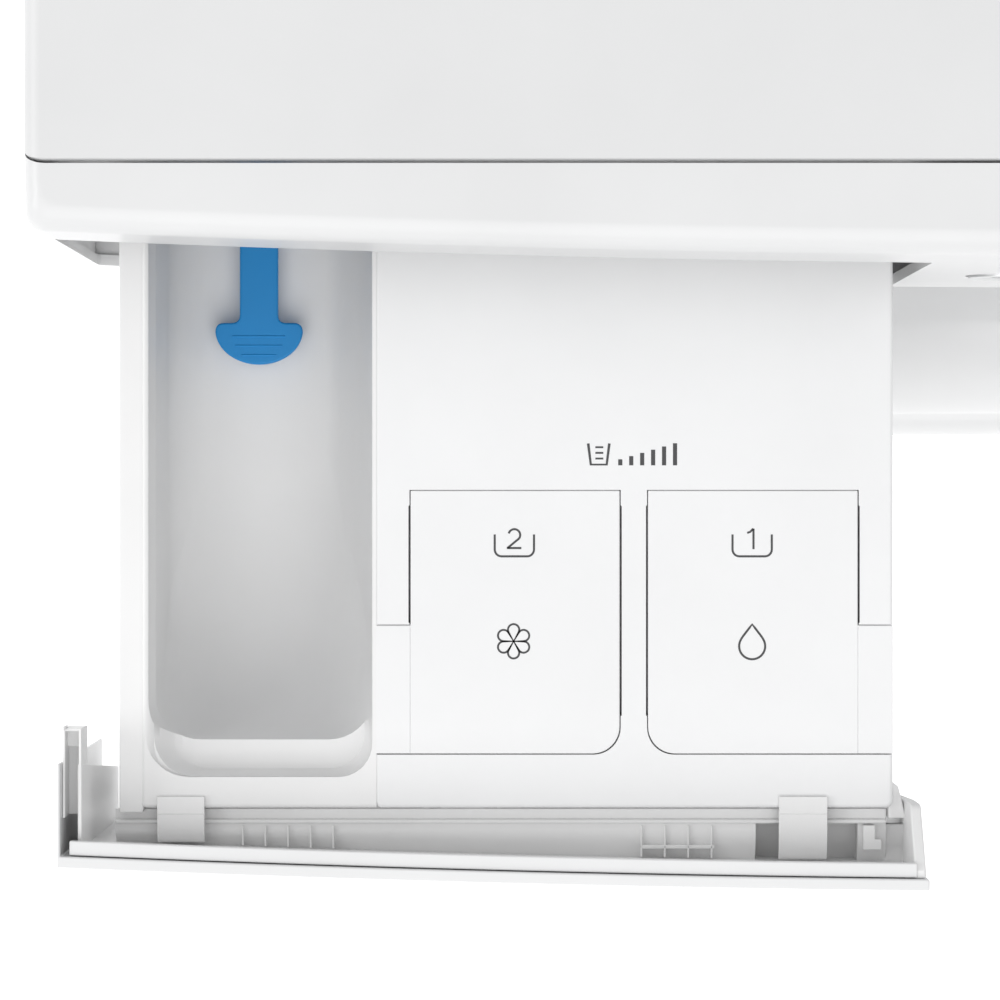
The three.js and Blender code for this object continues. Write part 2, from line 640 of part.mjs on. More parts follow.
function addDoor() {
  const back = panelY - 4;
  const frameBack = [[150, back - 12], [150, back], [214, back], [218, back - 12]];
  const armRoom = box([-doorRadius - 4, -188], [back - 24, back + 1], around(axisZ, 16.5));
  const hookRoom = box(around(lockX, 8), [back - 13, back + 1], around(axisZ, 11));
  add('door_inner_frame', cut(revolved(frameBack, 0, axisZ, 36), hookRoom, armRoom), 'grey_plastic');
  const ring = [[146, back - 13], [146, back - 30], [168, doorFront + 6], [196, doorFront],
    [222, doorFront + 12], [doorRadius, doorFront + 26], [doorRadius, back - 4], [222, back - 4],
    [220, back - 13]];
  const grip = box([doorRadius - 34, doorRadius + 5], [doorFront + 16, back - 15], around(axisZ, 48));
  add('door_outer_ring', cut(revolved(ring, 0, axisZ, 36), grip, armRoom), 'white_plastic');
  const bowl = [[0, back + 64], [94, back + 58], [116, back + 48], [132, back + 31], [139, back + 10],
    [142, back - 12.6], [149.4, back - 12.6], [149.4, back - 4], [146, back + 12], [137, back + 34],
    [120, back + 52], [96, back + 62], [0, back + 68]];
  add('door_glass', revolved(bowl), 'glass');
}

/** The hinge: a bracket with two knuckles on the cabinet and an arm with one on the door. */
function addHinge() {
  const knuckle = 6;
  const reach = 15;
  const pieces = [];
  for (const low of [axisZ - 31, axisZ + 16]) {
    pieces.push(barrelZ(knuckle, [low, low + reach], hingeX, hingeY));
    pieces.push(box([hingeX - knuckle, hingeX + 3], [hingeY, panelY - gap], [low, low + reach]));
  }
  const plate = box([hingeX - 22, hingeX + 3], [panelY - 3, panelY - gap], around(axisZ, 40));
  const pinHole = barrelZ(2.8, around(axisZ, 40), hingeX, hingeY);
  add('door_hinge_bracket', cut(join(plate, ...pieces), pinHole), 'white_plastic');
  const knuckleArm = barrelZ(knuckle, around(axisZ, 15.4), hingeX, hingeY);
  const leaf = box([hingeX, -190], [hingeY + 1, hingeY + 5], around(axisZ, 15.4));
  const pin = barrelZ(2.4, around(axisZ, 30), hingeX, hingeY);
  add('door_hinge_arm', join(knuckleArm, leaf, pin), 'steel');
}

/** The sprung hook on the door and the lock that it drops into. */
function addLatch() {
  const back = panelY - 4;
  const hook = [[back - 12, axisZ - 8], [back + 14, axisZ - 6], [back + 14, axisZ + 5],
    [back + 9, axisZ + 10], [back + 9, axisZ + 3], [back - 12, axisZ + 3]];
  add('door_latch', leftToRight(outlineOf(hook), around(lockX, 3)), 'steel');
  const lock = box(around(lockX, 16), [panelY + sheet + gap, panelY + 31], around(axisZ, 50));
  const slot = box(around(lockX, 8), [panelY, panelY + 24], around(axisZ, 15));
  add('door_lock', cut(lock, slot), 'dark_plastic');
}

// ---------------------------------------------------------------- dosing drawer

const trayX = [drawerFrontLeft + 13.4, drawerFrontLeft + 13.4 + 205];
const trayFront = seamY - 166.7;
const trayBack = trayFront + 330;
const rim = 7.7;
const chamberX = [trayX[0] + rim, trayX[0] + rim + 60.1];
const chamberFront = trayFront + 9.5;
const chamberBack = trayBack - 12;
const chamberFloor = trayTop - 60;
const coverThickness = 9;
const lidY = [trayFront + 15.6, trayFront + 85.5];
const lidX = {
  softener: [chamberX[1] + 9.3, chamberX[1] + 64.9],
  detergent: [trayX[1] - 65, trayX[1] - 8.8],
};
const lidThickness = 3;
const tabLength = 34;

/** The open washing compartment: walls, a ramp that rises to the front and a ledge before it. */
function chamber() {
  const [left, right] = chamberX;
  const across = new THREE.Shape();
  across.moveTo(left, trayTop + 1);
  across.lineTo(left + 0.5, chamberFloor + 12);
  across.quadraticCurveTo(left + 1, chamberFloor, left + 13, chamberFloor);
  across.lineTo(right - 17, chamberFloor);
  across.quadraticCurveTo(right - 5, chamberFloor + 2, right - 4, chamberFloor + 24);
  across.lineTo(right, trayTop + 1);
  const along = new THREE.Shape();
  const rampTop = trayTop - 10;
  along.moveTo(chamberFront, trayTop + 1);
  along.lineTo(chamberFront, rampTop);
  along.lineTo(chamberFront + 9.3, rampTop);
  along.bezierCurveTo(chamberFront + 14, chamberFloor + 14, chamberFront + 30, chamberFloor,
    chamberFront + 52, chamberFloor);
  along.lineTo(chamberBack, chamberFloor);
  along.lineTo(chamberBack, trayTop + 1);
  const plan = roundedRectangle([left, right], [chamberFront, chamberBack], 7);
  return common(
    frontToBack(across, [chamberFront - 1, chamberBack + 1]),
    leftToRight(along, [left - 1, right + 1], 10),
    upright(plan, [chamberFloor - 1, trayTop + 2], 5));
}

/** The tray: the open compartment at the left and two dosing tanks under the cover. */
function addTray() {
  const [left, right] = trayX;
  const tankTop = trayTop - coverThickness - gap;
  const outer = box([left, right], [trayFront, trayBack], [trayBottom, trayTop]);
  const lengthY = [trayFront, trayBack];
  const coverRoom = box([chamberX[1] - 0.5, right + 1], grown(lengthY, 1), [tankTop, trayTop + 1]);
  const divider = (lidX.softener[1] + lidX.detergent[0]) / 2;
  const tanks = [[chamberX[1] + 2.5, divider - 1], [divider + 1, right - 2.5]].map(
    (x) => box(x, [trayFront + 4, trayBack - 4], [trayBottom + 3, trayTop]));
  add('drawer_tray', cut(outer, coverRoom, ...tanks, chamber()), 'tray_plastic');
}

/** A lid's outline: a plate with a grip tab on one side and one rounded front corner. */
function lidOutline([x0, x1], tabSide, grow) {
  const tabWidth = 9.3;
  const radius = 9.3;
  const [front, back] = [lidY[0] - grow, lidY[1] + grow];
  const tabBack = lidY[0] + tabLength + grow;
  const shape = new THREE.Shape();
  if (tabSide < 0) {
    shape.moveTo(x0 - grow, back);
    shape.lineTo(x0 - grow, tabBack);
    shape.lineTo(x0 - tabWidth - grow, tabBack);
    shape.lineTo(x0 - tabWidth - grow, front);
    shape.lineTo(x1 + grow - radius, front);
    shape.absarc(x1 + grow - radius, front + radius, radius, -Math.PI / 2, 0);
    shape.lineTo(x1 + grow, back);
  } else {
    shape.moveTo(x1 + grow, back);
    shape.lineTo(x0 - grow, back);
    shape.lineTo(x0 - grow, front + radius);
    shape.absarc(x0 - grow + radius, front + radius, radius, Math.PI, Math.PI * 1.5);
    shape.lineTo(x1 + tabWidth + grow, front);
    shape.lineTo(x1 + tabWidth + grow, tabBack);
    shape.lineTo(x1 + grow, tabBack);
  }
  return shape;
}

const tabSides = { softener: -1, detergent: 1 };

/** The cover over the dosing tanks, with a recess and a mouth under each lid. */
function addCoverAndLids() {
  const seat = trayTop - lidThickness - gap;
  const bottom = trayTop - coverThickness;
  const cuts = [];
  for (const [name, x] of Object.entries(lidX)) {
    const side = tabSides[name];
    cuts.push(upright(lidOutline(x, side, 0.8), [seat, trayTop + 1], 6));
    const mouth = roundedRectangle(grown(x, -3), [lidY[0] + 5, lidY[1] - 12], 6);
    cuts.push(upright(mouth, [bottom - 1, seat + 1]));
    const lid = upright(lidOutline(x, side, -0.05), [trayTop - lidThickness, trayTop], 6);
    add(`lid_${name}`, common(lid, box(trayX, [trayFront, trayBack], [0, height])), 'white_plastic');
  }
  const plate = box([chamberX[1], trayX[1]], [trayFront + 1.3, trayBack - 60], [bottom, trayTop]);
  add('drawer_cover', cut(plate, ...cuts), 'white_plastic');
}

/** The blue lever in the compartment that frees the drawer when its head is pressed down. */
function addReleaseLever() {
  const x = chamberX[0] + 25.9;
  const headFront = seamY - 45.6;
  const headRadius = 12.2;
  const stem = 5.3;
  const level = [chamberFloor + 5, chamberFloor + 8.5];
  const shape = new THREE.Shape();
  shape.moveTo(x + stem, headFront + 90);
  shape.lineTo(x - stem, headFront + 90);
  shape.lineTo(x - stem, headFront + headRadius + 3);
  shape.quadraticCurveTo(x - stem, headFront + headRadius, x - headRadius, headFront + headRadius);
  shape.absarc(x, headFront + headRadius, headRadius, Math.PI, Math.PI * 2);
  shape.quadraticCurveTo(x + stem, headFront + headRadius, x + stem, headFront + headRadius + 3);
  const ribs = [3.6, 5.2, 6.8, 8.4].map((back) => {
    const reach = Math.sqrt(headRadius ** 2 - (headRadius - back) ** 2) - 1.6;
    return box(around(x, reach), around(headFront + back + 0.3, 0.3), around(level[1], 0.4));
  });
  const pivot = barrelX(3.5, [x - 11, x + 11], headFront + 90, level[0] + 1.75);
  add('release_lever', join(upright(shape, level, 8), pivot, ...ribs), 'blue_plastic');
}

/** The drawer's outer skin and the carrier behind it that holds the tray. */
function addDrawerFront() {
  const skinBottom = fasciaBottom + 5;
  const ends = [drawerFrontLeft, drawerFrontRight];
  const skin = bowedPlate(ends, [0, 2.5], [skinBottom, drawerFrontTop], -drawerTravel);
  add('drawer_front', skin, 'white_plastic');
  const carrierTop = drawerFrontTop - 1.5;
  const back = bowedPlate(grown(ends, -3), [2.8, 6.3], [skinBottom + 3, carrierTop], -drawerTravel);
  const faceY = (x) => frontY + bowBack(x) - drawerTravel;
  const returnZ = [skinBottom + 17, carrierTop - 3];
  const returns = [
    box([ends[0] + 1.1, ends[0] + 4.6], [faceY(ends[0]) + 4, trayFront + 24], returnZ),
    box([ends[1] - 6.2, ends[1] - 2.2], [faceY(ends[1]) + 4, trayFront + 4], returnZ),
  ];
  const fins = [];
  for (const from of [trayX[0] + 32, trayX[0] + 143]) {
    for (let i = 0; i < 4; i += 1) {
      const x = from + i * 6.2;
      fins.push(box([x, x + 1.6], [faceY(x) + 5.8, trayFront - 0.6], [trayTop - 14, carrierTop - 6]));
    }
  }
  const shelf = [[trayX[0] + 2, faceY(trayX[0] + 2) + 5], [trayX[1] - 2, faceY(trayX[1] - 2) + 5],
    [trayX[1] - 2, trayFront - 0.6], [trayX[0] + 2, trayFront - 0.6]];
  const web = upright(outlineOf(shelf), [skinBottom + 12, skinBottom + 15]);
  add('drawer_carrier', join(back, ...returns, ...fins, web), 'tray_plastic');
}

// ---------------------------------------------------------------- assembly

addFeet();
addBaseFrame();
add('left_side_panel', sidePanel(-1), 'white_panel');
add('right_side_panel', sidePanel(1), 'white_panel');
addRearPanel();
addRearServiceCover();
addFrontPanel();
addWorktop();
addControlFascia();
addDisplayAndBoard();
addControls();
addDispenserHousing();
addHoses();
addInletValve();
addOutletPlate();
addDrainPump();
addPumpFlap();
addTubFront();
addTubRear();
addHeater();
addCounterweight();
addSprings();
addDampers();
addDrive();
addShaftBearing();
addDrum();
addSpider();
addDoorGasket();
addDoor();
addHinge();
addLatch();
addTray();
addCoverAndLids();
addReleaseLever();
addDrawerFront();

export default machine;
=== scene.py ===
"""Looks for a front load washing machine with its dosing drawer pulled out.

Shapes are written in millimetres in the CAD part's own frame (+X right, +Y back, +Z up from the
floor) and turned into metres when a mesh is made. Places come from the CAD nodes' boxes.
"""

import json
import math

import bmesh
import bpy
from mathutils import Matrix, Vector


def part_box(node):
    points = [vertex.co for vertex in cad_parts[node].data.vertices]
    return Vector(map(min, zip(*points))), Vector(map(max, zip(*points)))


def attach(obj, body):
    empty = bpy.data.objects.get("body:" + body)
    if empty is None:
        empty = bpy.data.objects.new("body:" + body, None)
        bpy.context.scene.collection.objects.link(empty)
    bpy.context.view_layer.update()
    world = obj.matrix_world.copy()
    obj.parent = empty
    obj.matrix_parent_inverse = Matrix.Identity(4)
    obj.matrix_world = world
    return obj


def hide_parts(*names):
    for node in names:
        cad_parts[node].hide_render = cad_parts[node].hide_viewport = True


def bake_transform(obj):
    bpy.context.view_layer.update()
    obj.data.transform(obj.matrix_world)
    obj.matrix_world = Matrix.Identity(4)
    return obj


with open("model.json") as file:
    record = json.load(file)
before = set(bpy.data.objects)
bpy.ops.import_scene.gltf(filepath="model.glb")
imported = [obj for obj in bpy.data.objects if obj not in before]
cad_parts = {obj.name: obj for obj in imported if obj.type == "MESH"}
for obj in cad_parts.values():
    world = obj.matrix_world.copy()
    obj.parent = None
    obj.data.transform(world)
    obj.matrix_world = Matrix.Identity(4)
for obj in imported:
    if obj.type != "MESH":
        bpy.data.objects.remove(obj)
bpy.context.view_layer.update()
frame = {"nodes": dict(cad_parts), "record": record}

MM = 0.001
UP = "Z"
TINY = 0.01  # stands in for a radius of zero, which would fold faces together

# ---------------- mesh helpers


def extent(node):
    """The x, y and z ranges of a CAD node, in millimetres."""
    low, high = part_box(node)
    return [(low[i] / MM, high[i] / MM) for i in range(3)]


def middle(span):
    """The middle of a range."""
    return (span[0] + span[1]) / 2


def grown(span, by):
    """A range made longer by an amount at each end."""
    return (span[0] - by, span[1] + by)


def around(centre, reach):
    """The range that reaches equally far to both sides of a centre."""
    return (centre - reach, centre + reach)


def shade(mesh, angle):
    """Turn the faces outwards and shade them smooth where they meet below an angle."""
    work = bmesh.new()
    work.from_mesh(mesh)
    bmesh.ops.remove_doubles(work, verts=work.verts, dist=1e-7)
    bmesh.ops.recalc_face_normals(work, faces=work.faces)
    work.to_mesh(mesh)
    work.free()
    mesh.shade_smooth()
    mesh.set_sharp_from_angle(angle=math.radians(angle))


def make(name, points, faces, angle=35):
    """A mesh object from points in millimetres."""
    mesh = bpy.data.meshes.new(name)
    mesh.from_pydata([[value * MM for value in point] for point in points], [], faces)
    shade(mesh, angle)
    obj = bpy.data.objects.new(name, mesh)
    bpy.context.scene.collection.objects.link(obj)
    return obj


def stack(name, rings, angle=35, caps="both"):
    """A skin through rings with equal numbers of points, closed at both ends or at the last one.

    With caps="fans" both ends are closed by triangles round a middle point.
    """
    count = len(rings[0])
    points = [point for ring in rings for point in ring]
    faces = []
    for level in range(len(rings) - 1):
        low, high = level * count, (level + 1) * count
        for i in range(count):
            j = (i + 1) % count
            faces.append([low + i, low + j, high + j, high + i])
    ends = [len(rings) - 1] if caps == "last" else [0, len(rings) - 1]
    for end in ends:
        rim = [end * count + i for i in range(count)]
        if caps == "fans":
            points.append(tuple(sum(values) / count for values in zip(*rings[end])))
            middle = len(points) - 1
            faces += [[rim[i], rim[(i + 1) % count], middle] for i in range(count)]
        else:
            faces.append(rim)
    return make(name, points, faces, angle)


def placed(point, axis, along):
    """A drawn point put on its plane: (y, z) across X, (x, z) across Y or (x, y) across Z."""
    u, v = point
    return {"X": (along, u, v), "Y": (u, along, v), "Z": (u, v, along)}[axis]


def moved(x, y, *points):
    """Drawn points, each moved by x and y."""
    return [(u + x, v + y) for u, v in points]


def at_height(plan, z):
    """The points of a plan, all at one height."""
    return [(x, y, z) for x, y in plan]


def apply_modifiers(obj, angle):
    """Replace an object's mesh by what its modifiers make of it."""
    graph = bpy.context.evaluated_depsgraph_get()
    mesh = bpy.data.meshes.new_from_object(obj.evaluated_get(graph))
    obj.modifiers.clear()
    old = obj.data
    obj.data = mesh
    bpy.data.meshes.remove(old)
    mesh.name = obj.name
    shade(mesh, angle)
    return obj


def soften(obj, width, angle=40, segments=3):
    """Round an object's edges."""
    bevel = obj.modifiers.new("edges", "BEVEL")
    bevel.width = width * MM
    bevel.segments = segments
    bevel.limit_method = "ANGLE"
    bevel.angle_limit = math.radians(angle)
    return obj


def thicken(obj, thickness):
    """Give a one-sided skin a thickness, half of it to each side."""
    solidify = obj.modifiers.new("sheet", "SOLIDIFY")
    solidify.thickness = thickness * MM
    solidify.offset = 0
    return obj


def prism(name, outline, axis, span, edge=0.0, angle=35):
    """An outline extruded along an axis, with its edges rounded."""
    rings = [[placed(point, axis, along) for point in outline] for along in span]
    obj = stack(name, rings, angle)
    return soften(obj, edge) if edge else obj


def block(name, x, y, z, edge=0.0):
    """A box with its edges rounded."""
    outline = [(x[0], y[0]), (x[1], y[0]), (x[1], y[1]), (x[0], y[1])]
    return prism(name, outline, UP, z, edge)


def arc(centre, radius, start, stop, steps=8):
    """Points along an arc, angles in degrees."""
    turns = [math.radians(start + (stop - start) * i / steps) for i in range(steps + 1)]
    return [(centre[0] + radius * math.cos(t), centre[1] + radius * math.sin(t)) for t in turns]


def circle(x, y, radius, sides=64):
    """Points round a circle, or the corners of a regular polygon."""
    turns = [math.tau * i / sides for i in range(sides)]
    return [(x + radius * math.cos(t), y + radius * math.sin(t)) for t in turns]


def rounded(u, v, radius, steps=6):
    """A rectangle with rounded corners, or with a radius for each, from the lower left round."""
    radii = radius if isinstance(radius, (list, tuple)) else [radius] * 4
    corners = [(u[0], v[0], 1, 1), (u[1], v[0], -1, 1), (u[1], v[1], -1, -1), (u[0], v[1], 1, -1)]
    points = []
    for i, (x, y, right, upward) in enumerate(corners):
        r = max(radii[i], TINY)
        points += arc((x + right * r, y + upward * r), r, 180 + 90 * i, 270 + 90 * i, steps)
    return points


def curve(first, *rest, steps=10):
    """Points along a Bezier curve with two, three or four control points."""
    def at(t):
        """The point at a share of the way along."""
        level = [first, *rest]
        while len(level) > 1:
            level = [tuple(a + (b - a) * t for a, b in zip(p, q)) for p, q in zip(level, level[1:])]
        return level[0]
    return [at(i / steps) for i in range(steps + 1)]


def lathe(name, profile, centre, axis="Y", sides=96, closed=True, angle=35, flutes=(0, 0.0)):
    """Revolve (radius, along) points about a line along an axis, with flutes of a number and depth."""
    rings = []
    for i in range(sides):
        turn = math.tau * i / sides
        dip = flutes[1] * (1 - math.cos(flutes[0] * turn)) / 2
        ring = []
        for r, along in profile:
            reach = max(r - dip, 0)
            point = (centre[0] + reach * math.cos(turn), centre[1] + reach * math.sin(turn))
            ring.append(placed(point, axis, along))
        rings.append(ring)
    count = len(profile)
    points = [point for ring in rings for point in ring]
    faces = []
    for i in range(sides):
        here, there = i * count, (i + 1) % sides * count
        for j in range(count if closed else count - 1):
            k = (j + 1) % count
            faces.append([here + j, here + k, there + k, there + j])
    return make(name, points, faces, angle)


def tube(name, path, radii, sides=12, angle=60):
    """A round tube along a path, with one radius or one for each point."""
    path = [Vector(point) for point in path]
    radii = radii if isinstance(radii, list) else [radii] * len(path)
    side = None
    rings = []
    for i, point in enumerate(path):
        ahead = (path[min(i + 1, len(path) - 1)] - path[max(i - 1, 0)]).normalized()
        if side is None:
            side = ahead.orthogonal().normalized()
        side = (side - ahead * side.dot(ahead)).normalized()
        other = ahead.cross(side)
        turns = [math.tau * k / sides for k in range(sides)]
        rings.append([
            tuple(point + (side * math.cos(t) + other * math.sin(t)) * radii[i]) for t in turns
        ])
    return stack(name, rings, angle)


def joined(name, *objects):
    """One object that holds the meshes of several."""
    graph = bpy.context.evaluated_depsgraph_get()
    work = bmesh.new()
    for obj in objects:
        mesh = bpy.data.meshes.new_from_object(obj.evaluated_get(graph))
        work.from_mesh(mesh)
        bpy.data.meshes.remove(mesh)
    mesh = bpy.data.meshes.new(name)
    work.to_mesh(mesh)
    work.free()
    for obj in objects:
        bpy.data.objects.remove(obj)
    result = bpy.data.objects.new(name, mesh)
    bpy.context.scene.collection.objects.link(result)
    return result


def combine(obj, operation, *tools, angle=35):
    """Cut tools out of an object, or add them to it."""
    for tool in tools:
        boolean = obj.modifiers.new("boolean", "BOOLEAN")
        boolean.operation = operation
        boolean.solver = "EXACT"
        boolean.object = tool
    apply_modifiers(obj, angle)
    for tool in tools:
        bpy.data.objects.remove(tool)
    return obj


def cut(obj, *tools, angle=35):
    """Cut tools out of an object."""
    return combine(obj, "DIFFERENCE", *tools, angle=angle)


# ---------------- finishes


def noise(tree, where, scale, detail=2.0, roughness=0.5):
    """The value of a noise texture, as an output to link from."""
    node = tree.nodes.new("ShaderNodeTexNoise")
    node.inputs["Scale"].default_value = scale
    node.inputs["Detail"].default_value = detail
    node.inputs["Roughness"].default_value = roughness
    tree.links.new(where, node.inputs["Vector"])
    return node.outputs["Fac"]


def finish(name, colour, roughness, metallic=0.0, coat=0.0, mottle=0.02, patch=14.0, uneven=0.06,
           grain=900.0, relief=0.08, depth=0.0001, stretch=(1.0, 1.0, 1.0)):
    """A procedural finish: mottled colour, uneven roughness and a fine grain in its relief."""
    made = bpy.data.materials.new(name)
    made.use_nodes = True
    tree = made.node_tree
    shader = tree.nodes["Principled BSDF"]
    shader.inputs["Metallic"].default_value = metallic
    shader.inputs["Coat Weight"].default_value = coat
    shader.inputs["Coat Roughness"].default_value = 0.12
    place = tree.nodes.new("ShaderNodeTexCoord").outputs["Object"]
    mapping = tree.nodes.new("ShaderNodeMapping")
    mapping.inputs["Scale"].default_value = stretch
    tree.links.new(place, mapping.inputs["Vector"])
    where = mapping.outputs["Vector"]
    broad = noise(tree, where, patch, 4.0, 0.6)
    tint = tree.nodes.new("ShaderNodeValToRGB")
    tint.color_ramp.elements[0].position = 0.3
    tint.color_ramp.elements[1].position = 0.7
    tint.color_ramp.elements[0].color = [*[c * (1 - mottle) for c in colour], 1]
    tint.color_ramp.elements[1].color = [*[min(1, c * (1 + mottle)) for c in colour], 1]
    tree.links.new(broad, tint.inputs["Fac"])
    tree.links.new(tint.outputs["Color"], shader.inputs["Base Color"])
    fine = noise(tree, where, grain, 3.0)
    shine = tree.nodes.new("ShaderNodeMapRange")
    shine.inputs["To Min"].default_value = max(0.02, roughness - uneven)
    shine.inputs["To Max"].default_value = roughness + uneven
    tree.links.new(noise(tree, where, patch * 6, 5.0, 0.65), shine.inputs["Value"])
    tree.links.new(shine.outputs["Result"], shader.inputs["Roughness"])
    bump = tree.nodes.new("ShaderNodeBump")
    bump.inputs["Strength"].default_value = relief
    bump.inputs["Distance"].default_value = depth
    tree.links.new(fine, bump.inputs["Height"])
    tree.links.new(bump.outputs["Normal"], shader.inputs["Normal"])
    return made


def see_through(name, colour, roughness):
    """Clear glass with faint waves from pressing."""
    made = finish(name, colour, roughness, mottle=0.01, grain=12.0, relief=0.06, depth=0.002)
    shader = made.node_tree.nodes["Principled BSDF"]
    shader.inputs["Transmission Weight"].default_value = 1.0
    shader.inputs["IOR"].default_value = 1.5
    return made


finishes = {
    "white_steel": finish("white_steel", (0.74, 0.745, 0.75), 0.3, coat=0.25, grain=420, relief=0.12),
    "worktop_board": finish("worktop_board", (0.715, 0.718, 0.722), 0.4, grain=1500, relief=0.15),
    "white_plastic": finish("white_plastic", (0.83, 0.833, 0.838), 0.42, grain=2600, relief=0.12),
    "panel_plastic": finish("panel_plastic", (0.735, 0.738, 0.742), 0.38, coat=0.1, grain=1900, relief=0.1),
    "tray_plastic": finish("tray_plastic", (0.825, 0.825, 0.825), 0.46, grain=2200, relief=0.15),
    "blue_plastic": finish("blue_plastic", (0.002, 0.24, 0.6), 0.5, mottle=0.05, grain=2400),
    "dark_plastic": finish("dark_plastic", (0.05, 0.05, 0.055), 0.5, mottle=0.1, grain=1800, relief=0.3),
    "grey_plastic": finish("grey_plastic", (0.42, 0.43, 0.44), 0.5, mottle=0.04, grain=1600, relief=0.25),
    "silver_plastic": finish("silver_plastic", (0.6, 0.605, 0.61), 0.32, 0.6, grain=700, relief=0.03),
    "stainless": finish("stainless", (0.62, 0.62, 0.62), 0.27, 1.0, mottle=0.05, grain=60, relief=0.2,
                        stretch=(1, 14, 1)),
    "steel": finish("steel", (0.36, 0.37, 0.38), 0.38, 1.0, mottle=0.15, patch=60, grain=900, relief=0.2),
    "aluminium": finish("aluminium", (0.55, 0.56, 0.57), 0.5, 1.0, mottle=0.08, patch=50, grain=700,
                        relief=0.5, depth=0.0004),
    "seal_rubber": finish("seal_rubber", (0.19, 0.195, 0.2), 0.62, mottle=0.06, grain=1300, relief=0.3),
    "black_rubber": finish("black_rubber", (0.02, 0.02, 0.022), 0.7, mottle=0.2, grain=1100, relief=0.4),
    "concrete": finish("concrete", (0.3, 0.295, 0.28), 0.9, mottle=0.2, patch=40, grain=260, relief=0.8,
                       depth=0.001),
    "door_glass": see_through("door_glass", (0.93, 0.97, 0.97), 0.03),
    "smoked_window": finish("smoked_window", (0.012, 0.013, 0.015), 0.08, coat=0.6, mottle=0.1, grain=40,
                            relief=0.02),
    "circuit_board": finish("circuit_board", (0.03, 0.1, 0.05), 0.4, mottle=0.4, patch=300, grain=600),
    "ink": finish("ink", (0.055, 0.055, 0.058), 0.5, mottle=0.1, grain=3000, relief=0.05),
    "pale_ink": finish("pale_ink", (0.72, 0.78, 0.8), 0.4, mottle=0.04, grain=3000, relief=0.05),
}


def dressed(obj, name, *stands_for):
    """Give an object its finish and even shading over its large faces, and hide the CAD nodes it stands for.
    """
    obj.data.materials.clear()
    obj.data.materials.append(finishes[name])
    shading = obj.modifiers.new("shading", "WEIGHTED_NORMAL")
    shading.keep_sharp = True
    if stands_for:
        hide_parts(*stands_for)
    return obj


def piece(obj, body, name, *stands_for):
    """A finished object that rides on one body."""
    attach(dressed(obj, name, *stands_for), body)
    return obj


def flexible(obj, name, start, end, *stands_for):
    """A finished object between the cabinet and the tub, with its mesh baked in place; start and end are not
    used.
    """
    dressed(obj, name, *stands_for)
    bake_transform(obj)


# How far the edges of the CAD nodes that still show are rounded
usual_edge = 0.6
edge_of = {
    "counterweight": 6,
    "paddle_1": 3,
    "paddle_2": 3,
    "paddle_3": 3,
    "drum_spider": 2,
    "motor_housing": 2,
}


def dress_cad_nodes():
    """Give each CAD node that still shows its finish, and round its edges."""
    slots = {part["node"]: part["material_slot"] for part in frame["record"]["subparts"]}
    for name, obj in frame["nodes"].items():
        if obj.hide_render:
            continue
        obj.data.materials.clear()
        obj.data.materials.append(finishes[slots[name]])
        obj.data.shade_smooth()
        obj.data.set_sharp_from_angle(angle=math.radians(38))
        soften(obj, edge_of.get(name, usual_edge), segments=2)


# ---------------- places taken from the CAD boxes

fascia_x, fascia_y, fascia_z = extent("control_fascia")
front_y, seam_y = fascia_y
half = fascia_x[1]
top = fascia_z[1]
front_bow = 6.5
drawer_travel = 162.0
tray_x, tray_y, tray_z = extent("drawer_tray")
skin_x, _, skin_z = extent("drawer_front")
carrier_z = extent("drawer_carrier")[2]
lid_divide = middle((extent("lid_softener")[0][1], extent("lid_detergent")[0][0]))
door_z = middle(extent("door_outer_ring")[2])
flap_x, flap_y, flap_z = extent("pump_flap")


def bow(x):
    """The front's y at x: foremost at mid width."""
    return front_y + front_bow * (x / half) ** 2


def front_of(x):
    """The drawn-out drawer front's y at x."""
    return bow(x) - drawer_travel


def bowed(x_from, x_to, inset, steps=24):
    """Points along the bowed front, set back by an inset."""
    places = [x_from + (x_to - x_from) * i / steps for i in range(steps + 1)]
    return [(x, bow(x) + inset) for x in places]


def pulled(points):
    """Points of the front moved out with the drawer."""
    return [(x, y - drawer_travel) for x, y in points]


# ---------------- worktop and control panel

corner_wrap = 5.7
corner_rise = 3.2
side_round = 4.6
worktop_setback = 0.45
panel_setback = -0.15


def seam(x, offset):
    """The seam between worktop and control panel, which turns back at the rounded sides."""
    over = max(0.0, abs(x) - (half - corner_wrap)) / corner_wrap
    return seam_y + offset + corner_rise * (1 - math.sqrt(max(0.0, 1 - over ** 2)))


def seam_line(reach, offset):
    """Points of the seam from the right end to the left one."""
    bends = [half - corner_wrap + (reach - half + corner_wrap) * i / 8 for i in range(9)]
    right = [(x, seam(x, offset)) for x in reversed(bends)]
    return right + [(-x, y) for x, y in reversed(right)]


def fillet(radius, steps=6):
    """Pairs of inset and drop along a quarter circle, from the flat top to the side."""
    turns = [math.pi / 2 * i / steps for i in range(steps + 1)]
    return [(radius * (1 - math.sin(t)), radius * (1 - math.cos(t))) for t in turns]


def add_worktop():
    """The worktop, rounded over its sides and thinly over its front and back."""
    _, (_, back), (bottom, _) = extent("worktop")
    levels = [(side, side / 6, top - drop) for side, drop in fillet(side_round)]
    levels += [(0, 0, bottom + 0.6), (0.6, 0.6, bottom)]
    rings = []
    for side, edge, z in levels:
        plan = seam_line(half - side, worktop_setback + edge)
        plan += [(-half + side, back - edge), (half - side, back - edge)]
        rings.append(at_height(plan, z))
    piece(stack("worktop_board_top", rings), "cabinet", "worktop_board", "worktop")


def fascia_plan(side, front, back):
    """The control panel from above, with its sides, front and back set in."""
    corner = 4.9
    taper = 0.3
    left = -half + side
    turn_y = bow(half) + front + corner
    bend = [(left, seam_y - 4)]
    bend += curve((left + taper, turn_y), (left + taper, turn_y - corner + 0.3),
                  (left + corner, bow(half - corner) + front))
    run = bowed(left + corner, -left - corner, front, 48)[1:-1]
    return bend + run + [(-x, y) for x, y in reversed(bend)] + back


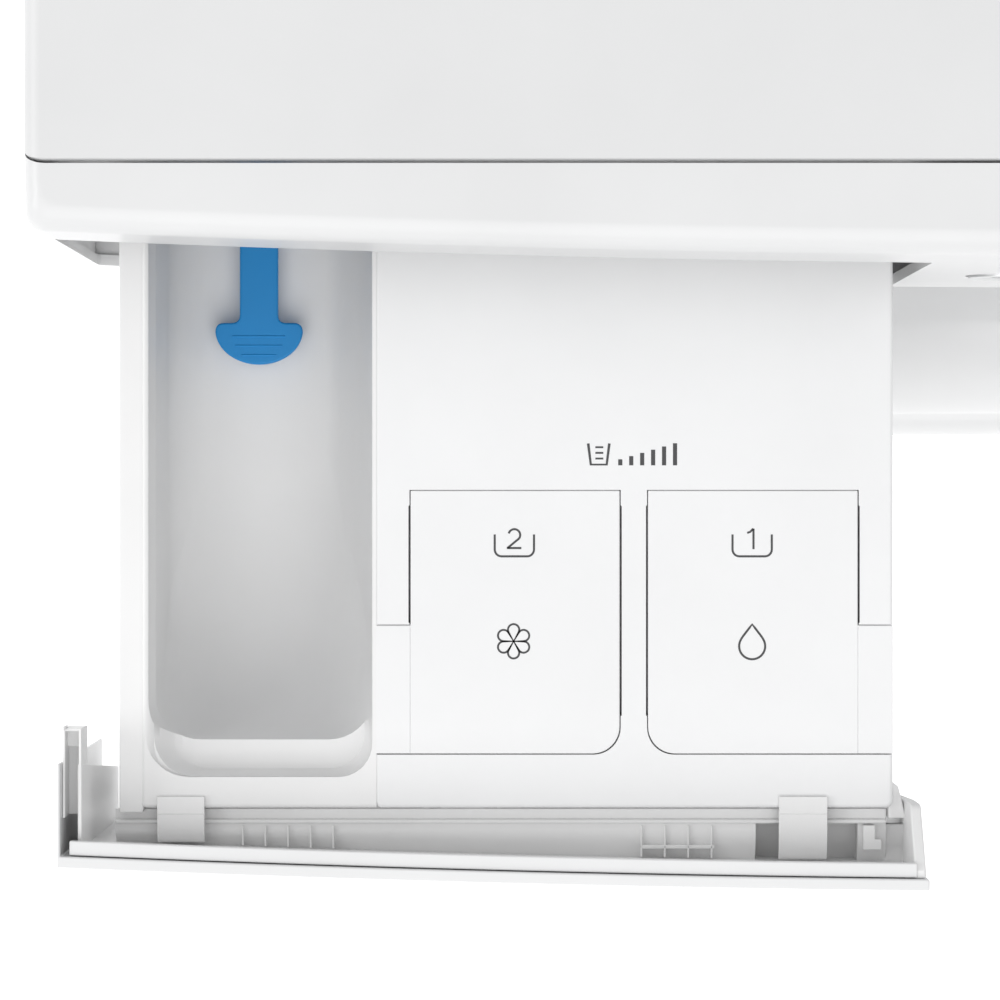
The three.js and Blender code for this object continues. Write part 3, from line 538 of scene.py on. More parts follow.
def add_fascia():
    """The control panel: a moulding with rounded edges and openings for drawer and controls."""
    wall = 3
    levels = [(side * side_round / 6, side * 1.1, top - drop) for side, drop in fillet(6, 8)]
    levels += [(0, 0, fascia_z[0] + 1), (0.4, 0.4, fascia_z[0] + 0.2), (1, 1, fascia_z[0])]
    rings = []
    for side, front, z in levels:
        plan = fascia_plan(side, front, seam_line(half - side, panel_setback))
        rings.append(at_height(plan, z))
    shell = stack("control_panel", rings, 30)
    inner = bowed(-half + wall, half - wall, wall, 48)
    inner += [(half - wall, seam_y + 9), (-half + wall, seam_y + 9)]
    hollow = prism("hollow", inner, UP, (fascia_z[0] + wall, top - 7.5))
    crown = prism("crown", [(x * 0.985, y + 2) for x, y in inner], UP, (top - 9, top - wall))
    span = (front_y - 5, front_y + 14)
    clearance = 0.6
    mouth = rounded(grown(skin_x, clearance), grown(skin_z, clearance), 1)
    tools = [hollow, crown, prism("hole", mouth, "Y", span)] + control_holes(span)
    piece(cut(shell, *tools, angle=30), "cabinet", "panel_plastic", "control_fascia")


def control_holes(span):
    """The openings for the display, the two buttons and the knob's shaft."""
    x, _, z = extent("display_window")
    holes = [prism("hole", rounded(grown(x, 0.3), grown(z, 0.3), 4), "Y", span)]
    for node in ("power_button", "start_button"):
        x, _, z = extent(node)
        holes.append(prism("hole", circle(middle(x), middle(z), (x[1] - x[0]) / 2 + 0.5), "Y", span))
    x, _, z = extent("program_knob")
    holes.append(prism("hole", circle(middle(x), middle(z), 10), "Y", span))
    return holes


# ---------------- prints

stroke = 0.56
ink_height = 0.05


def flat_on(z):
    """Printing on a level face."""
    return lambda u, v, lift: (u, v, z + lift)


def on_front(inset):
    """Printing on the bowed front or on something set back from it."""
    return lambda u, v, lift: (u, bow(u) + inset - lift, v)


def upright_at(y):
    """Printing on a flat upright face."""
    return lambda u, v, lift: (u, y - lift, v)


def ribbon(points, place, width=stroke):
    """A printed line along points."""
    points = [Vector(point) for point in points]
    loop = (points[0] - points[-1]).length < 1e-3
    left, right = [], []
    for i, point in enumerate(points):
        before = points[i - 1] if i else (points[-2] if loop else point)
        after = points[i + 1] if i + 1 < len(points) else (points[1] if loop else point)
        ahead = (after - before).normalized()
        aside = Vector((-ahead.y, ahead.x)) * width / 2
        left.append(point + aside)
        right.append(point - aside)
    sides = left + right
    vertices = [place(u, v, lift) for lift in (0.0, ink_height) for u, v in sides]
    count = len(points)
    faces = []
    for i in range(count - 1):
        for low in (0, 2 * count):
            faces.append([low + i, low + i + 1, low + count + i + 1, low + count + i])
        for low in (0, count):
            faces.append([low + i, low + i + 1, low + 2 * count + i + 1, low + 2 * count + i])
    for i in (0, count - 1):
        if not loop:
            faces.append([i, count + i, 3 * count + i, 2 * count + i])
    return make("ink", vertices, faces)


def tray_sign(x, y, place):
    """An open tray."""
    right = [(x + 5.2, y + 2.6)] + arc((x + 3.4, y - 1.4), 1.8, 0, -90, 6)
    left = [(2 * x - u, v) for u, v in reversed(right)]
    return ribbon(right + left, place)


def digit_one(x, y, place):
    """A one with a flag."""
    flag = moved(x, y, (-1.3, 1.8), (-0.5, 2.1), (0.3, 2.95))
    stem = moved(x, y, (0.35, 2.95), (0.35, -2.5))
    return [ribbon(flag, place), ribbon(stem, place)]


def digit_two(x, y, place):
    """A two with a level base."""
    bowl = arc((x, y + 1.25), 1.55, 165, -38, 14)
    base = [(x - 2, y - 2.2), (x + 1.85, y - 2.2)]
    return [ribbon(bowl + [(x - 1.75, y - 2.15)], place), ribbon(base, place)]


def drop(x, y, place):
    """A drop of liquid."""
    belly = arc((x, y - 1.1), 3.45, 150, 390, 30)
    left = curve((x, y + 4.7), (x - 1.6, y + 2.6), (x - 2.9, y + 1.0), belly[0], steps=6)
    right = [(2 * x - u, v) for u, v in reversed(left)]
    return ribbon(left[:-1] + belly + right[1:], place)


def flower(x, y, place):
    """Six petals round a middle."""
    petals = []
    for i in range(6):
        out = 60 * i + 90
        turn = math.radians(out)
        tip = (x + math.cos(turn) * 3.05, y + math.sin(turn) * 3.05)
        petals.append(ribbon([(x, y)] + arc(tip, 1.5, out - 118, out + 118, 16) + [(x, y)], place, 0.52))
    return joined("petals", *petals)


def add_cover_sign():
    """A plain measuring cup and a rising scale, printed on the cover."""
    place = flat_on(extent("drawer_cover")[2][1])
    x = lid_divide
    y = extent("lid_softener")[1][1] + 9.5
    cup_x = x - 9.3
    outline = moved(cup_x, y, (-2.8, 2.9), (-2.1, -2.7), (2.1, -2.7), (2.8, 2.9))
    marks = [ribbon([(cup_x - 0.9, y + level), (cup_x + 1.2, y + level)], place, 0.5)
             for level in (-1.1, 0.4, 1.9)]
    bars = []
    for i in range(6):
        bar_x = x - 3.6 + 2.9 * i
        bars.append(ribbon([(bar_x, y - 2.9), (bar_x, y - 1.3 + 0.85 * i)], place, 1.1))
    piece(joined("cover_print", ribbon(outline, place, 0.7), *marks, *bars), "drawer", "ink")


# ---------------- dosing drawer

rim = 8.3
side_flange = 5.8
front_lip = 1.3
chamber_x = (tray_x[0] + rim, tray_x[0] + rim + 59.5)
chamber_y = (tray_y[0] + 9.5, tray_y[1] - 12)
floor_z = tray_z[1] - 60
ledge_z = tray_z[1] - 10
rail_z = tray_z[1] - 2
web_z = tray_z[1] - 4
lids = {"softener": -1, "detergent": 1}  # the side of each lid that its grip tab is on
tab_width = 9.3
tab_length = 34


def foot(height, rise, reach):
    """How far a wall's foot curves in at a height above the floor."""
    below = max(0.0, 1 - height / rise)
    return reach * (1 - math.sqrt(max(0.0, 1 - below ** 2)))


def trough():
    """The washing compartment as a solid: a deep trough whose floor ramps up at the front."""
    left, right = chamber_x
    # Distance from the compartment's front, and height above its floor
    ramp = curve((9.3, ledge_z - floor_z), (14, 21), (33, 0), (76, 0), steps=22)
    rings = []
    for front, height in reversed(ramp):
        x = (left + 0.5 + foot(height, 13, 12.5), right - 4 * (1 - height / 60) - foot(height, 24, 12))
        corner = min(12 + 4 * (1 - height / 50), (x[1] - x[0]) / 2 - 1)
        y = (chamber_y[0] + front, chamber_y[1] - foot(height, 10, 10))
        plan = rounded(x, y, (corner, corner, 8, 8), 9)
        rings.append(at_height(plan, floor_z + height))
    for grow, z in [(0, ledge_z + 1)] + flare():
        x = (left + 0.5 - grow, right - 0.7 + grow)
        plan = rounded(x, (chamber_y[0] + 8.8, chamber_y[1] + grow), (12, 12, 8, 8), 9)
        rings.append(at_height(plan, z))
    return stack("trough", rings, 60, caps="fans")


def flare(radius=1.8):
    """How far an opening widens towards the tray's top, which its rounded edge reaches."""
    edge = [(radius - inset, tray_z[1] - fall) for inset, fall in reversed(fillet(radius))]
    return [(grow, z) for grow, z in edge] + [(radius, tray_z[1] + 1)]


def soft_slope(share):
    """How far along a slope that starts and ends level is, at a share of its height."""
    return 0.5 - math.sin(math.asin(1 - 2 * min(1.0, share)) / 3)


def pocket():
    """The shallow space over the ledge in front of the trough, whose left side fades into the rim."""
    left, right = chamber_x
    depth = tray_z[1] - ledge_z
    sloped = 0.82 * depth
    levels = [(0.0, ledge_z + sloped * i / 12) for i in range(13)] + flare()
    rings = []
    for grow, z in levels:
        height = z - ledge_z
        slope = max(0.0, 1 - height / sloped) ** 2
        ease = 1 - soft_slope(height / depth)
        x = (left - 1.6 + 9 * ease, right - 0.7 - 2.5 * slope + grow)
        y = (chamber_y[0] + 1.6 * slope - grow, chamber_y[1] + grow)
        plan = rounded(x, y, (12 - 5 * ease, 9, 7, 7), 9)
        rings.append(at_height(plan, z))
    return stack("pocket", rings, 60, caps="fans")


def rounded_box(name, x, y, z, corner, crown=1.2):
    """A box with round upright corners and a rounded top edge."""
    levels = [(inset, z[1] - fall) for inset, fall in fillet(crown)] + [(0, z[0] + 0.8), (0.8, z[0])]
    rings = []
    for inset, level in levels:
        plan = rounded(grown(x, -inset), grown(y, -inset), max(corner - inset, 0.3))
        rings.append(at_height(plan, level))
    return stack(name, rings)


def add_tray():
    """The tray with the open compartment and the two dosing tanks."""
    cover_z = extent("drawer_cover")[2]
    inner_x = (tray_x[0] + side_flange, tray_x[1])
    body = rounded_box("dosing_tray", inner_x, (tray_y[0] + front_lip, tray_y[1]), tray_z, 1.5)
    bay_x = (chamber_x[1] + 0.4, tray_x[1] + 2)
    bay = block("bay", bay_x, grown(tray_y, 2), (cover_z[0] - 0.3, tray_z[1] + 2))
    tanks = []
    for x in [(chamber_x[1] + 2.5, lid_divide - 1), (lid_divide + 1, tray_x[1] - 2.5)]:
        plan = rounded(x, (tray_y[0] + 5, tray_y[1] - 4), 6)
        tanks.append(prism("tank", plan, UP, (tray_z[0] + 3, tray_z[1])))
    piece(cut(body, bay, *tanks, trough(), pocket(), angle=40), "drawer", "tray_plastic", "drawer_tray")
    add_tray_trims()


def add_tray_trims():
    """The tray's flange at the left, the gusset at its front right corner and the tabs on its front."""
    flange_x = (tray_x[0], tray_x[0] + side_flange + 0.6)
    flange = rounded_box("tray_side_flange", flange_x, tray_y, (tray_z[0], tray_z[1] - 0.25), 0.6, 0.5)
    front = tray_y[0]
    corners = moved(tray_x[1], front, (-1, 9), (1.6, 6.8), (3.7, -1.6), (-1, -1.6))
    gusset = prism("gusset", corners, UP, (tray_z[1] - 12, tray_z[1] - 2), 0.4)
    tab_y = (front + 0.2, front + front_lip + 0.4)
    tab_z = (tray_z[1] - 9, tray_z[1] - 4.5)
    starts_and_lengths = [(68, 1.6), (80.8, 1.2), (85.2, 11.2), (100.2, 1.1), (170.2, 1.4), (190, 1.4)]
    tabs = [block("tab", (tray_x[0] + start, tray_x[0] + start + length), tab_y, tab_z, 0.15)
            for start, length in starts_and_lengths]
    piece(joined("tray_trims", flange, gusset, *tabs), "drawer", "tray_plastic")


def lid_outline(x, y, side, grow, corner=7.2):
    """A lid from above: a grip tab on one side, a round corner at the front of the other."""
    tab_back = y[0] + tab_length + grow
    front, back = y[0] - grow, y[1] + 0.4 * grow
    plain, tabbed = x if side > 0 else (x[1], x[0])
    plain -= side * grow
    tabbed += side * grow
    centre = (plain + side * corner, front + corner)
    turns = [math.pi / 2 * i / 10 for i in range(11)]
    bend = [(centre[0] - side * corner * math.sin(t), centre[1] - corner * math.cos(t)) for t in turns]
    return [(tabbed - side * tab_width, back), (tabbed - side * tab_width, tab_back), (tabbed, tab_back),
            (tabbed, front), *bend, (plain, back)]


def add_cover_and_lids():
    """The cover over the tanks, and the two lids set flush into it."""
    x, y, z = extent("drawer_cover")
    seat = z[1] - 3.3
    cover = rounded_box("tank_cover", x, y, z, 2.0, 1.1)
    cutters = []
    for name, side in lids.items():
        lid_x, lid_y, _ = extent(f"lid_{name}")
        plain, tabbed = lid_x if side > 0 else (lid_x[1], lid_x[0])
        hinged = tabbed - side * tab_width
        cutters.append(prism("recess", lid_outline(lid_x, lid_y, side, 0.22), UP, (seat, z[1] + 2)))
        inner = sorted((plain + side * 3, hinged - side * 3))
        mouth = rounded(inner, (lid_y[0] + 5, lid_y[1] - 12), 6)
        cutters.append(prism("mouth", mouth, UP, (z[0] - 2, seat + 1)))
        for edge, outward, start in [(plain, -side, 10), (hinged, side, tab_length + 0.6)]:
            slot_x = sorted((edge - outward * 0.6, edge + outward * 0.5))
            slot = rounded(slot_x, (lid_y[0] + start, lid_y[1] - 4), 0.3)
            cutters.append(prism("slot", slot, UP, (seat - 4, z[1] + 1)))
    piece(cut(cover, *cutters), "drawer", "white_plastic", "drawer_cover")
    for name, side in lids.items():
        add_lid(name, side)


def add_lid(name, side):
    """A lid with a softened edge, the crease of its tab and its printed signs."""
    x, y, z = extent(f"lid_{name}")
    outline = lid_outline((x[0] + 0.05, x[1] - 0.05), (y[0] + 0.05, y[1] - 0.05), side, 0)
    lid = soften(prism(f"{name}_lid", outline, UP, z), 0.3)
    apply_modifiers(lid, 35)
    edge = x[0] + tab_width if side < 0 else x[1] - tab_width
    groove = [(edge - 0.3, z[1] + 0.2), (edge, z[1] - 0.25), (edge + 0.3, z[1] + 0.2)]
    crease = prism("crease", groove, "Y", (y[0] - 1, y[0] + tab_length - 0.5))
    piece(cut(lid, crease), f"{name}_lid", "white_plastic", f"lid_{name}")
    place = flat_on(z[1])
    centre = middle((edge, x[1])) if side < 0 else middle((x[0], edge))
    sign_x, tray_sign_y, digit_y = centre - 0.2, y[0] + 55.5, y[0] + 56.7
    signs = [tray_sign(sign_x, tray_sign_y, place)]
    if side < 0:
        signs += digit_two(sign_x, digit_y, place) + [flower(sign_x - 0.2, y[0] + 29.8, place)]
    else:
        signs += digit_one(sign_x, digit_y, place) + [drop(sign_x, y[0] + 29.6, place)]
    piece(joined(f"{name}_print", *signs), f"{name}_lid", "ink")


def add_release_lever():
    """The lever's round head, with fine grip ridges and hollows where the stem leaves it."""
    x, y, _ = extent("release_lever")
    centre = middle(x)
    wide, deep = 12.2, 9.7
    stem = 5.3
    level = (floor_z + 5, floor_z + 8.5)
    widest = y[0] + deep - 0.4
    shoulder = y[0] + 11.2
    turns = [math.radians(-90 + 86 * i / 16) for i in range(17)]
    plan = [(centre + wide * math.cos(t), widest + deep * math.sin(t)) for t in turns]
    plan += curve(plan[-1], (centre + wide, shoulder), (centre + wide - 2.4, shoulder), steps=6)[1:]
    plan += curve((centre + stem + 2.2, shoulder), (centre + stem, shoulder + 0.1),
                  (centre + stem, shoulder + 2.3), steps=6)
    plan.append((centre + stem, y[1] - 3.5))
    outline = plan + [(2 * centre - u, v) for u, v in reversed(plan[1:])]
    lever = prism("drawer_release", outline, UP, level, 0.5)
    ridges = []
    for back in (2.2, 4.8, 7.4):
        reach = wide * math.sqrt(1 - (1 - back / deep) ** 2) * 0.62
        ends = [(centre + way * reach, y[0] + back, level[1] - 0.12) for way in (-1, 1)]
        ridges.append(tube("ridge", ends, 0.34, 8))
    axle = [(centre + way * 11, y[1] - 3.5, level[0] + 1.75) for way in (-1, 1)]
    parts = joined("drawer_release_lever", lever, tube("pivot", axle, 3.4, 20), *ridges)
    piece(parts, "release", "blue_plastic", "release_lever")


def add_drawer_front():
    """The drawer's bowed outer skin, with the side wrap at its left."""
    left, right = skin_x
    thick = 2.9
    wrap_back = front_of(left) + 26.8
    outline = [(left, wrap_back)] + pulled(bowed(left, right, 0, 30) + bowed(right, left + 0.8, thick, 30))
    outline.append((left + 0.8, wrap_back))
    skin = prism("drawer_skin", outline, UP, skin_z, 0.4)
    piece(skin, "drawer", "panel_plastic", "drawer_front")


def strap(x, wall_y):
    """A clip arm that lies on the tray's rim and reaches the front wall."""
    rim_top = tray_z[1] + 0.15
    start, bend = tray_y[0] + 4.4, tray_y[0] - 0.1
    lower = [(start, rim_top), (bend, rim_top)]
    lower += curve((bend - 0.5, rim_top), (bend - 5, rim_top),
                   (wall_y + 2, rim_top), (wall_y, rim_top - 2), steps=8)
    upper = [(y + 0.3, z + 1.0) for y, z in reversed(lower[2:])]
    upper += [(bend, rim_top + 1.2), (start, rim_top + 1.2)]
    return prism("strap", lower + upper, "X", x, 0.2, 60)


def ribs(start, count, pitch=6.0):
    """Low upright fins on the web, close behind the front wall."""
    fins = []
    for i in range(count):
        x = start + i * pitch
        fin_y = (front_of(x) + 5, tray_y[0] - 3.6)
        fins.append(block("rib", (x, x + 0.5), fin_y, (web_z - 9, web_z + 2.2), 0.15))
    return fins


def web(x, sink):
    """The curved web from the rail down to the front wall, lowered by a depth."""
    rail_back = tray_y[0] - 2.8
    rings = []
    for i in range(13):
        across = x[0] + (x[1] - x[0]) * i / 12
        foot_y = front_of(across) + 4.4
        upper = curve((rail_back, rail_z - 1 - sink), (rail_back - 4, web_z + 2 - sink),
                      (foot_y + 3, web_z - sink), (foot_y, web_z - 1.6 - sink), steps=8)
        outline = upper + [(foot_y, web_z - 20), (rail_back, web_z - 20)]
        rings.append([(across, y, z) for y, z in outline])
    return stack("web", rings, 50)


def add_carrier():
    """The frame behind the drawer's skin: top edge, web, rail, ribs, returns and clip arms."""
    left, right = grown(skin_x, -3)
    outer, inner = 3.2, 6.9
    edge = pulled(bowed(left, right, outer) + bowed(right, left, inner))
    top_edge = prism("drawer_top_edge", edge, UP, (carrier_z[1] - 2.5, carrier_z[1]), 0.35)
    piece(top_edge, "drawer", "panel_plastic")
    wall = pulled(bowed(left, right, outer) + bowed(right, left, outer + 1.4))
    parts = [prism("wall", wall, UP, (carrier_z[0], carrier_z[1] - 1))]
    web_x = (tray_x[0] - 1.3, tray_x[1] - 1.5)
    deep_x = (tray_x[1] - 36.2, tray_x[1] - 9)
    parts += [web((web_x[0], deep_x[0]), 0), web(deep_x, 8), web((deep_x[1], web_x[1]), 1)]
    parts.append(block("rail", web_x, (tray_y[0] - 3, tray_y[0] - 1.9), (web_z - 9, rail_z), 0.5))
    parts.append(block("shelf", web_x, (tray_y[0] - 2, tray_y[0] + 0.9), (rail_z - 4, rail_z - 1.6), 0.2))
    parts += ribs(tray_x[0] + 32.4, 5) + ribs(tray_x[0] + 138.2, 4, 6.2)
    bar_x = (tray_x[0] + 138.2, tray_x[0] + 157.8)
    bar_y = front_of(middle(bar_x)) + inner + 0.4
    parts.append(block("bar", bar_x, (bar_y, bar_y + 1), (web_z - 6, web_z + 2.2), 0.3))
    for x in [(tray_x[0] + 10.2, tray_x[0] + 22.7), (tray_x[1] - 30.3, tray_x[1] - 17.5)]:
        parts.append(strap(x, front_of(x[0]) + 5))
    parts += [bracket(front_of(right) + 8)] + left_return() + right_return()
    piece(joined("drawer_frame", *parts), "drawer", "tray_plastic", "drawer_carrier")


def bracket(front):
    """The upright L-shaped bracket at the web's right end."""
    plan = moved(tray_x[1], front, (-7.8, 0), (-2.9, 0), (-2.9, 2.8), (-4.6, 2.8), (-4.6, 6.5), (-7.8, 6.5))
    return prism("bracket", plan, UP, (web_z - 10, web_z + 3), 0.3)


def left_return():
    """The hooked arm at the drawer front's left end: a wall and a channel with a stepped floor."""
    x = skin_x[0] + 0.9
    wall_x = x + 3.9
    foot_y = front_of(x) + 3
    low, high = carrier_z[0], carrier_z[1] - 3.5
    wall = [(foot_y, low), (foot_y, high), (foot_y + 23.4, high), (foot_y + 16.2, low)]
    parts = [prism("inner", wall, "X", (wall_x, wall_x + 1), 0.2)]
    channel_x = (x + 0.1, wall_x + 0.8)
    bottom = high - 14
    for start, end, drop_by in ((9.7, 27.7, 9), (27.6, 32.3, 6)):
        floor_y = (foot_y + start, foot_y + end)
        parts.append(block("shelf", channel_x, floor_y, (bottom, high - drop_by), 0.2))
    flange_y = (foot_y + 9.5, foot_y + 32.6)
    for side in (x, wall_x + 0.3):
        parts.append(block("flange", (side, side + 0.6), flange_y, (bottom - 0.2, high + 0.1), 0.1))
    parts.append(block("end", channel_x, (foot_y + 32, foot_y + 32.5), (bottom, high - 0.1)))
    pin_y = (foot_y + 32.1, foot_y + 33.2)
    parts.append(block("pin", (x + 0.05, x + 0.65), pin_y, (high - 6, high + 2), 0.1))
    return parts


def right_return():
    """The rounded arm at the drawer front's right end, and the step between it and the web."""
    x = (skin_x[1] - 3.6, skin_x[1] - 0.7)
    foot_y = front_of(x[1]) + 3
    low, high = carrier_z[0], carrier_z[1] - 0.4
    wall = [(foot_y, low), (foot_y + 15.5, low), (foot_y + 18.2, high - 26)]
    wall += arc((foot_y + 14.9, high - 13.5), 3.3, 0, 65, 6) + [(foot_y + 2, high), (foot_y, high)]
    step = block("step", (tray_x[1] - 2, x[0] + 0.5), (foot_y, foot_y + 11.5), (web_z - 6, web_z - 2), 0.4)
    return [prism("arm", wall, "X", x, 0.5), step]


# ---------------- controls


def add_display():
    """The display's bowed pane with lit segments behind its face."""
    x, y, z = extent("display_window")
    steps = 16
    inset = 0.6
    pane = bowed(x[0], x[1], inset, steps) + bowed(x[1], x[0], 3, steps)
    window = prism("display_pane", pane, UP, z)
    corners = prism("corners", rounded(x, z, 4), "Y", (y[0] - 3, y[1] + 4))
    piece(combine(window, "INTERSECT", corners), "cabinet", "smoked_window", "display_window")
    place = on_front(inset)
    digit_x = middle(x) - 24
    segments = []
    for i, lit in enumerate(["bc", "abged", "abcdef"]):
        segments += seven_segments(digit_x + i * 17, middle(z), lit, place)
    for level in (-3.5, 3.5):
        segments.append(ribbon(circle(digit_x + 8.6, middle(z) + level, 0.5, 8), place, 0.9))
    for i in range(8):
        start = x[0] + 14 + i * 14
        ring = circle(start + 4.5, z[1] - 9, 2.6, 20) + [(start + 7.1, z[1] - 9)]
        segments.append(ribbon([(start, z[0] + 8), (start + 9, z[0] + 8)], place, 0.9))
        segments.append(ribbon(ring, place, 0.5))
    piece(joined("display_segments", *segments), "cabinet", "pale_ink")


def seven_segments(x, z, lit, place):
    """The lit bars of one digit."""
    wide, tall = 4.2, 7.5
    bars = {
        "a": ((-wide, tall), (wide, tall)),
        "b": ((wide, tall), (wide, 0)),
        "c": ((wide, 0), (wide, -tall)),
        "d": ((-wide, -tall), (wide, -tall)),
        "e": ((-wide, -tall), (-wide, 0)),
        "f": ((-wide, 0), (-wide, tall)),
        "g": ((-wide, 0), (wide, 0)),
    }
    made = []
    for name in lit:
        (u0, v0), (u1, v1) = bars[name]
        ends = [(x + u0 * 0.86, z + v0 * 0.92), (x + u1 * 0.86, z + v1 * 0.92)]
        if u0 == u1:
            ends = [(x + u0, z + v0 * 0.9 + 0.4), (x + u1, z + v1 * 0.9 + 0.4)]
        made.append(ribbon(ends, place, 1.3))
    return made


def add_knob():
    """The programme knob: a fluted grip with a dished cap and a dark pointer, and its dial marks."""
    x, y, z = extent("program_knob")
    centre = (middle(x), middle(z))
    radius = (x[1] - x[0]) / 2
    front = y[0] + 1
    foot_y = front_y - 0.6
    shaft = 9
    grip = moved(radius, front_y, (-0.2, -0.6), (0, -2), (-1, -14))
    grip += moved(radius, front, (-2.6, 2.6), (-3.6, 0.8), (-5, 0), (-6, 2))
    grip += [(shaft, front + 3), (shaft, foot_y)]
    cap = moved(0, front, (radius - 6, 0.4), (radius - 9, 1.1), (TINY, 1.4), (TINY, 4), (radius - 6, 4))
    parts = [
        lathe("knob_grip", grip, centre, sides=288, flutes=(48, 0.55)),
        lathe("knob_face", cap, centre),
        lathe("knob_stem", [(TINY, y[1]), (shaft, y[1]), (shaft, foot_y), (TINY, foot_y)], centre, sides=32),
    ]
    piece(joined("programme_knob", *parts), "knob", "silver_plastic", "program_knob")
    pointer_z = (centre[1] + radius - 17, centre[1] + radius - 6)
    pointer = rounded(around(centre[0], 1.3), pointer_z, 1.2)
    piece(prism("knob_pointer", pointer, "Y", (y[0], front + 2), 0.3), "knob", "ink")
    add_dial_marks(centre, radius + 4)


def add_dial_marks(centre, start, count=24):
    """Marks on the panel round the knob, every other one longer."""
    marks = []
    for i in range(count):
        turn = math.tau * i / count
        reach = (start, start + (1.5 if i % 2 else 3.5))
        ends = [(centre[0] + math.sin(turn) * r, centre[1] + math.cos(turn) * r) for r in reach]
        marks.append(ribbon(ends, on_front(0), 0.6))
    piece(joined("dial_marks", *marks), "cabinet", "ink")


def add_buttons():
    """Two round buttons with raised rims and printed signs."""
    for body, lines in (("power", power_lines), ("start", start_lines)):
        x, y, z = extent(f"{body}_button")
        centre = (middle(x), middle(z))
        radius = (x[1] - x[0]) / 2
        face_y = y[0] + 0.6
        profile = [(TINY, face_y), (radius - 2.6, face_y)]
        profile += moved(radius, y[0], (-1.2, 0), (-0.3, 0.3), (0, 1.2)) + [(radius, y[1]), (TINY, y[1])]
        button = lathe(f"{body}_push_button", profile, centre, sides=72)
        piece(button, body, "silver_plastic", f"{body}_button")
        sign = [ribbon(points, upright_at(face_y), width) for points, width in lines(*centre)]
        piece(joined(f"{body}_sign", *sign), body, "ink")


def power_lines(x, z):
    """The lines of the power sign and their widths: an open ring and a bar."""
    return [(arc((x, z - 0.4), 3, 120, 420, 24), 0.7), ([(x, z + 0.2), (x, z + 3.6)], 0.7)]


def start_lines(x, z):
    """The lines of the start and pause sign and their widths: a triangle and two bars."""
    triangle = moved(x, z, (-3.4, 2.6), (-3.4, -2.6), (0.6, 0), (-3.4, 2.6))
    return [(triangle, 0.6)] + [(moved(x, z, (u, -2.6), (u, 2.6)), 0.7) for u in (2, 3.8)]


# ---------------- door and drum

hinge_gap_x = (-236, -188)


def door_lathe(name, profile, sides=160, angle=35):
    """A profile revolved about the door's axis."""
    return lathe(name, profile, (0, door_z), sides=sides, angle=angle)


def add_door():
    """The door's outer ring with its grip, and a bright trim on it."""
    (_, radius), (front, back), _ = extent("door_outer_ring")
    outer = curve(*moved(0, front, (168, 6), (180, -2), (196, -1.5), (212, 6)), steps=12)
    outer += curve(*moved(0, front, (212, 6), (225, 12), (radius, 20), (radius, 28)))[1:]
    outer = [(r, max(along, front)) for r, along in outer]
    profile = moved(0, back, (146, -9), (146, -26), (150, -31)) + outer
    profile += moved(0, back, (radius, -0.6), (radius - 0.6, 0), (222, 0), (220, -9))
    ring = door_lathe("door_ring", profile, 200, 30)
    grip_plan = rounded((radius - 34, radius + 14), around(door_z, 48), 12)
    grip = prism("grip", grip_plan, "Y", (front + 16, back - 11), 2)
    arm_x, arm_y, arm_z = extent("door_hinge_arm")
    arm_room = block("arm_room", (arm_x[0] - 4, hinge_gap_x[1]), (arm_y[0] - 1, back + 1), grown(arm_z, 1))
    piece(cut(ring, grip, arm_room, angle=30), "door", "panel_plastic", "door_outer_ring")
    trim = moved(0, back, (146.5, -25), (145.6, -28), (146.6, -31), (150, -32.6), (152, -31.6), (149, -29))
    piece(door_lathe("door_trim", trim), "door", "silver_plastic")


def add_door_frame():
    """The ring behind the door, with gaps for the hinge's arm and the latch's hook."""
    front, back = extent("door_inner_frame")[1]
    profile = [(218, front), (150, front)]
    profile += moved(0, back, (150, -1), (151, 0), (170, 0), (172, -2), (190, -2), (192, 0), (213, 0),
                     (214.5, -1))
    arm_gap_y = (extent("door_outer_ring")[1][1] - 20, back + 1)
    arm_gap = block("arm_gap", hinge_gap_x, arm_gap_y, around(door_z, 16.5))
    hook_x = extent("door_latch")[0]
    hook_gap = block("hook_gap", grown(hook_x, 5), (front - 1, back + 1), around(door_z, 11))
    ring = cut(door_lathe("door_frame", profile), arm_gap, hook_gap)
    piece(ring, "door", "grey_plastic", "door_inner_frame")


def add_bowl():
    """The glass bowl that reaches into the drum's mouth, thick at its bottom."""
    front, back = extent("door_glass")[1]
    outer = curve((149.4, front + 8.6), *moved(0, back, (147, -40), (134, -20), (112, -11)), steps=14)
    outer += curve(*moved(0, back, (112, -11), (96, -5), (60, 0), (TINY, 0)), steps=12)[1:]
    inner = curve(*moved(0, back, (TINY, -5), (60, -5), (92, -10), (107, -16)), steps=12)
    inner += curve(*moved(0, back, (107, -16), (128, -26), (140, -44)), (142, front + 0.4), steps=14)[1:]
    profile = outer + inner + [(149, front + 0.4)]
    piece(door_lathe("door_bowl", profile, 160, 60), "door", "door_glass", "door_glass")


def add_gasket():
    """The rubber bellows between front panel and tub, with a drip lip and folds."""
    front, back = extent("door_gasket")[1]
    outer = moved(0, front, (178, 0), (178.5, 3), (177, 5), (165.5, 6), (164, 8))
    outer += curve(*moved(0, front, (164, 9), (164, 14), (172, 11)), (182, back - 1.2))
    inner = moved(0, back, (182, 0), (158.4, 0), (157.6, -2))
    inner += curve(*moved(0, back, (158.4, -4), (162.5, -7), (154.5, -10)), (158.5, front + 8), steps=12)
    lip = moved(0, front, (157, 5.5), (152.4, 4.4), (151, 2.8), (151.6, 0.8), (153, 0))
    bellows = door_lathe("door_bellows", outer + inner + lip, 144, 50)
    flexible(bellows, "seal_rubber", (0, front + 4, door_z), (0, back - 2, door_z), "door_gasket")


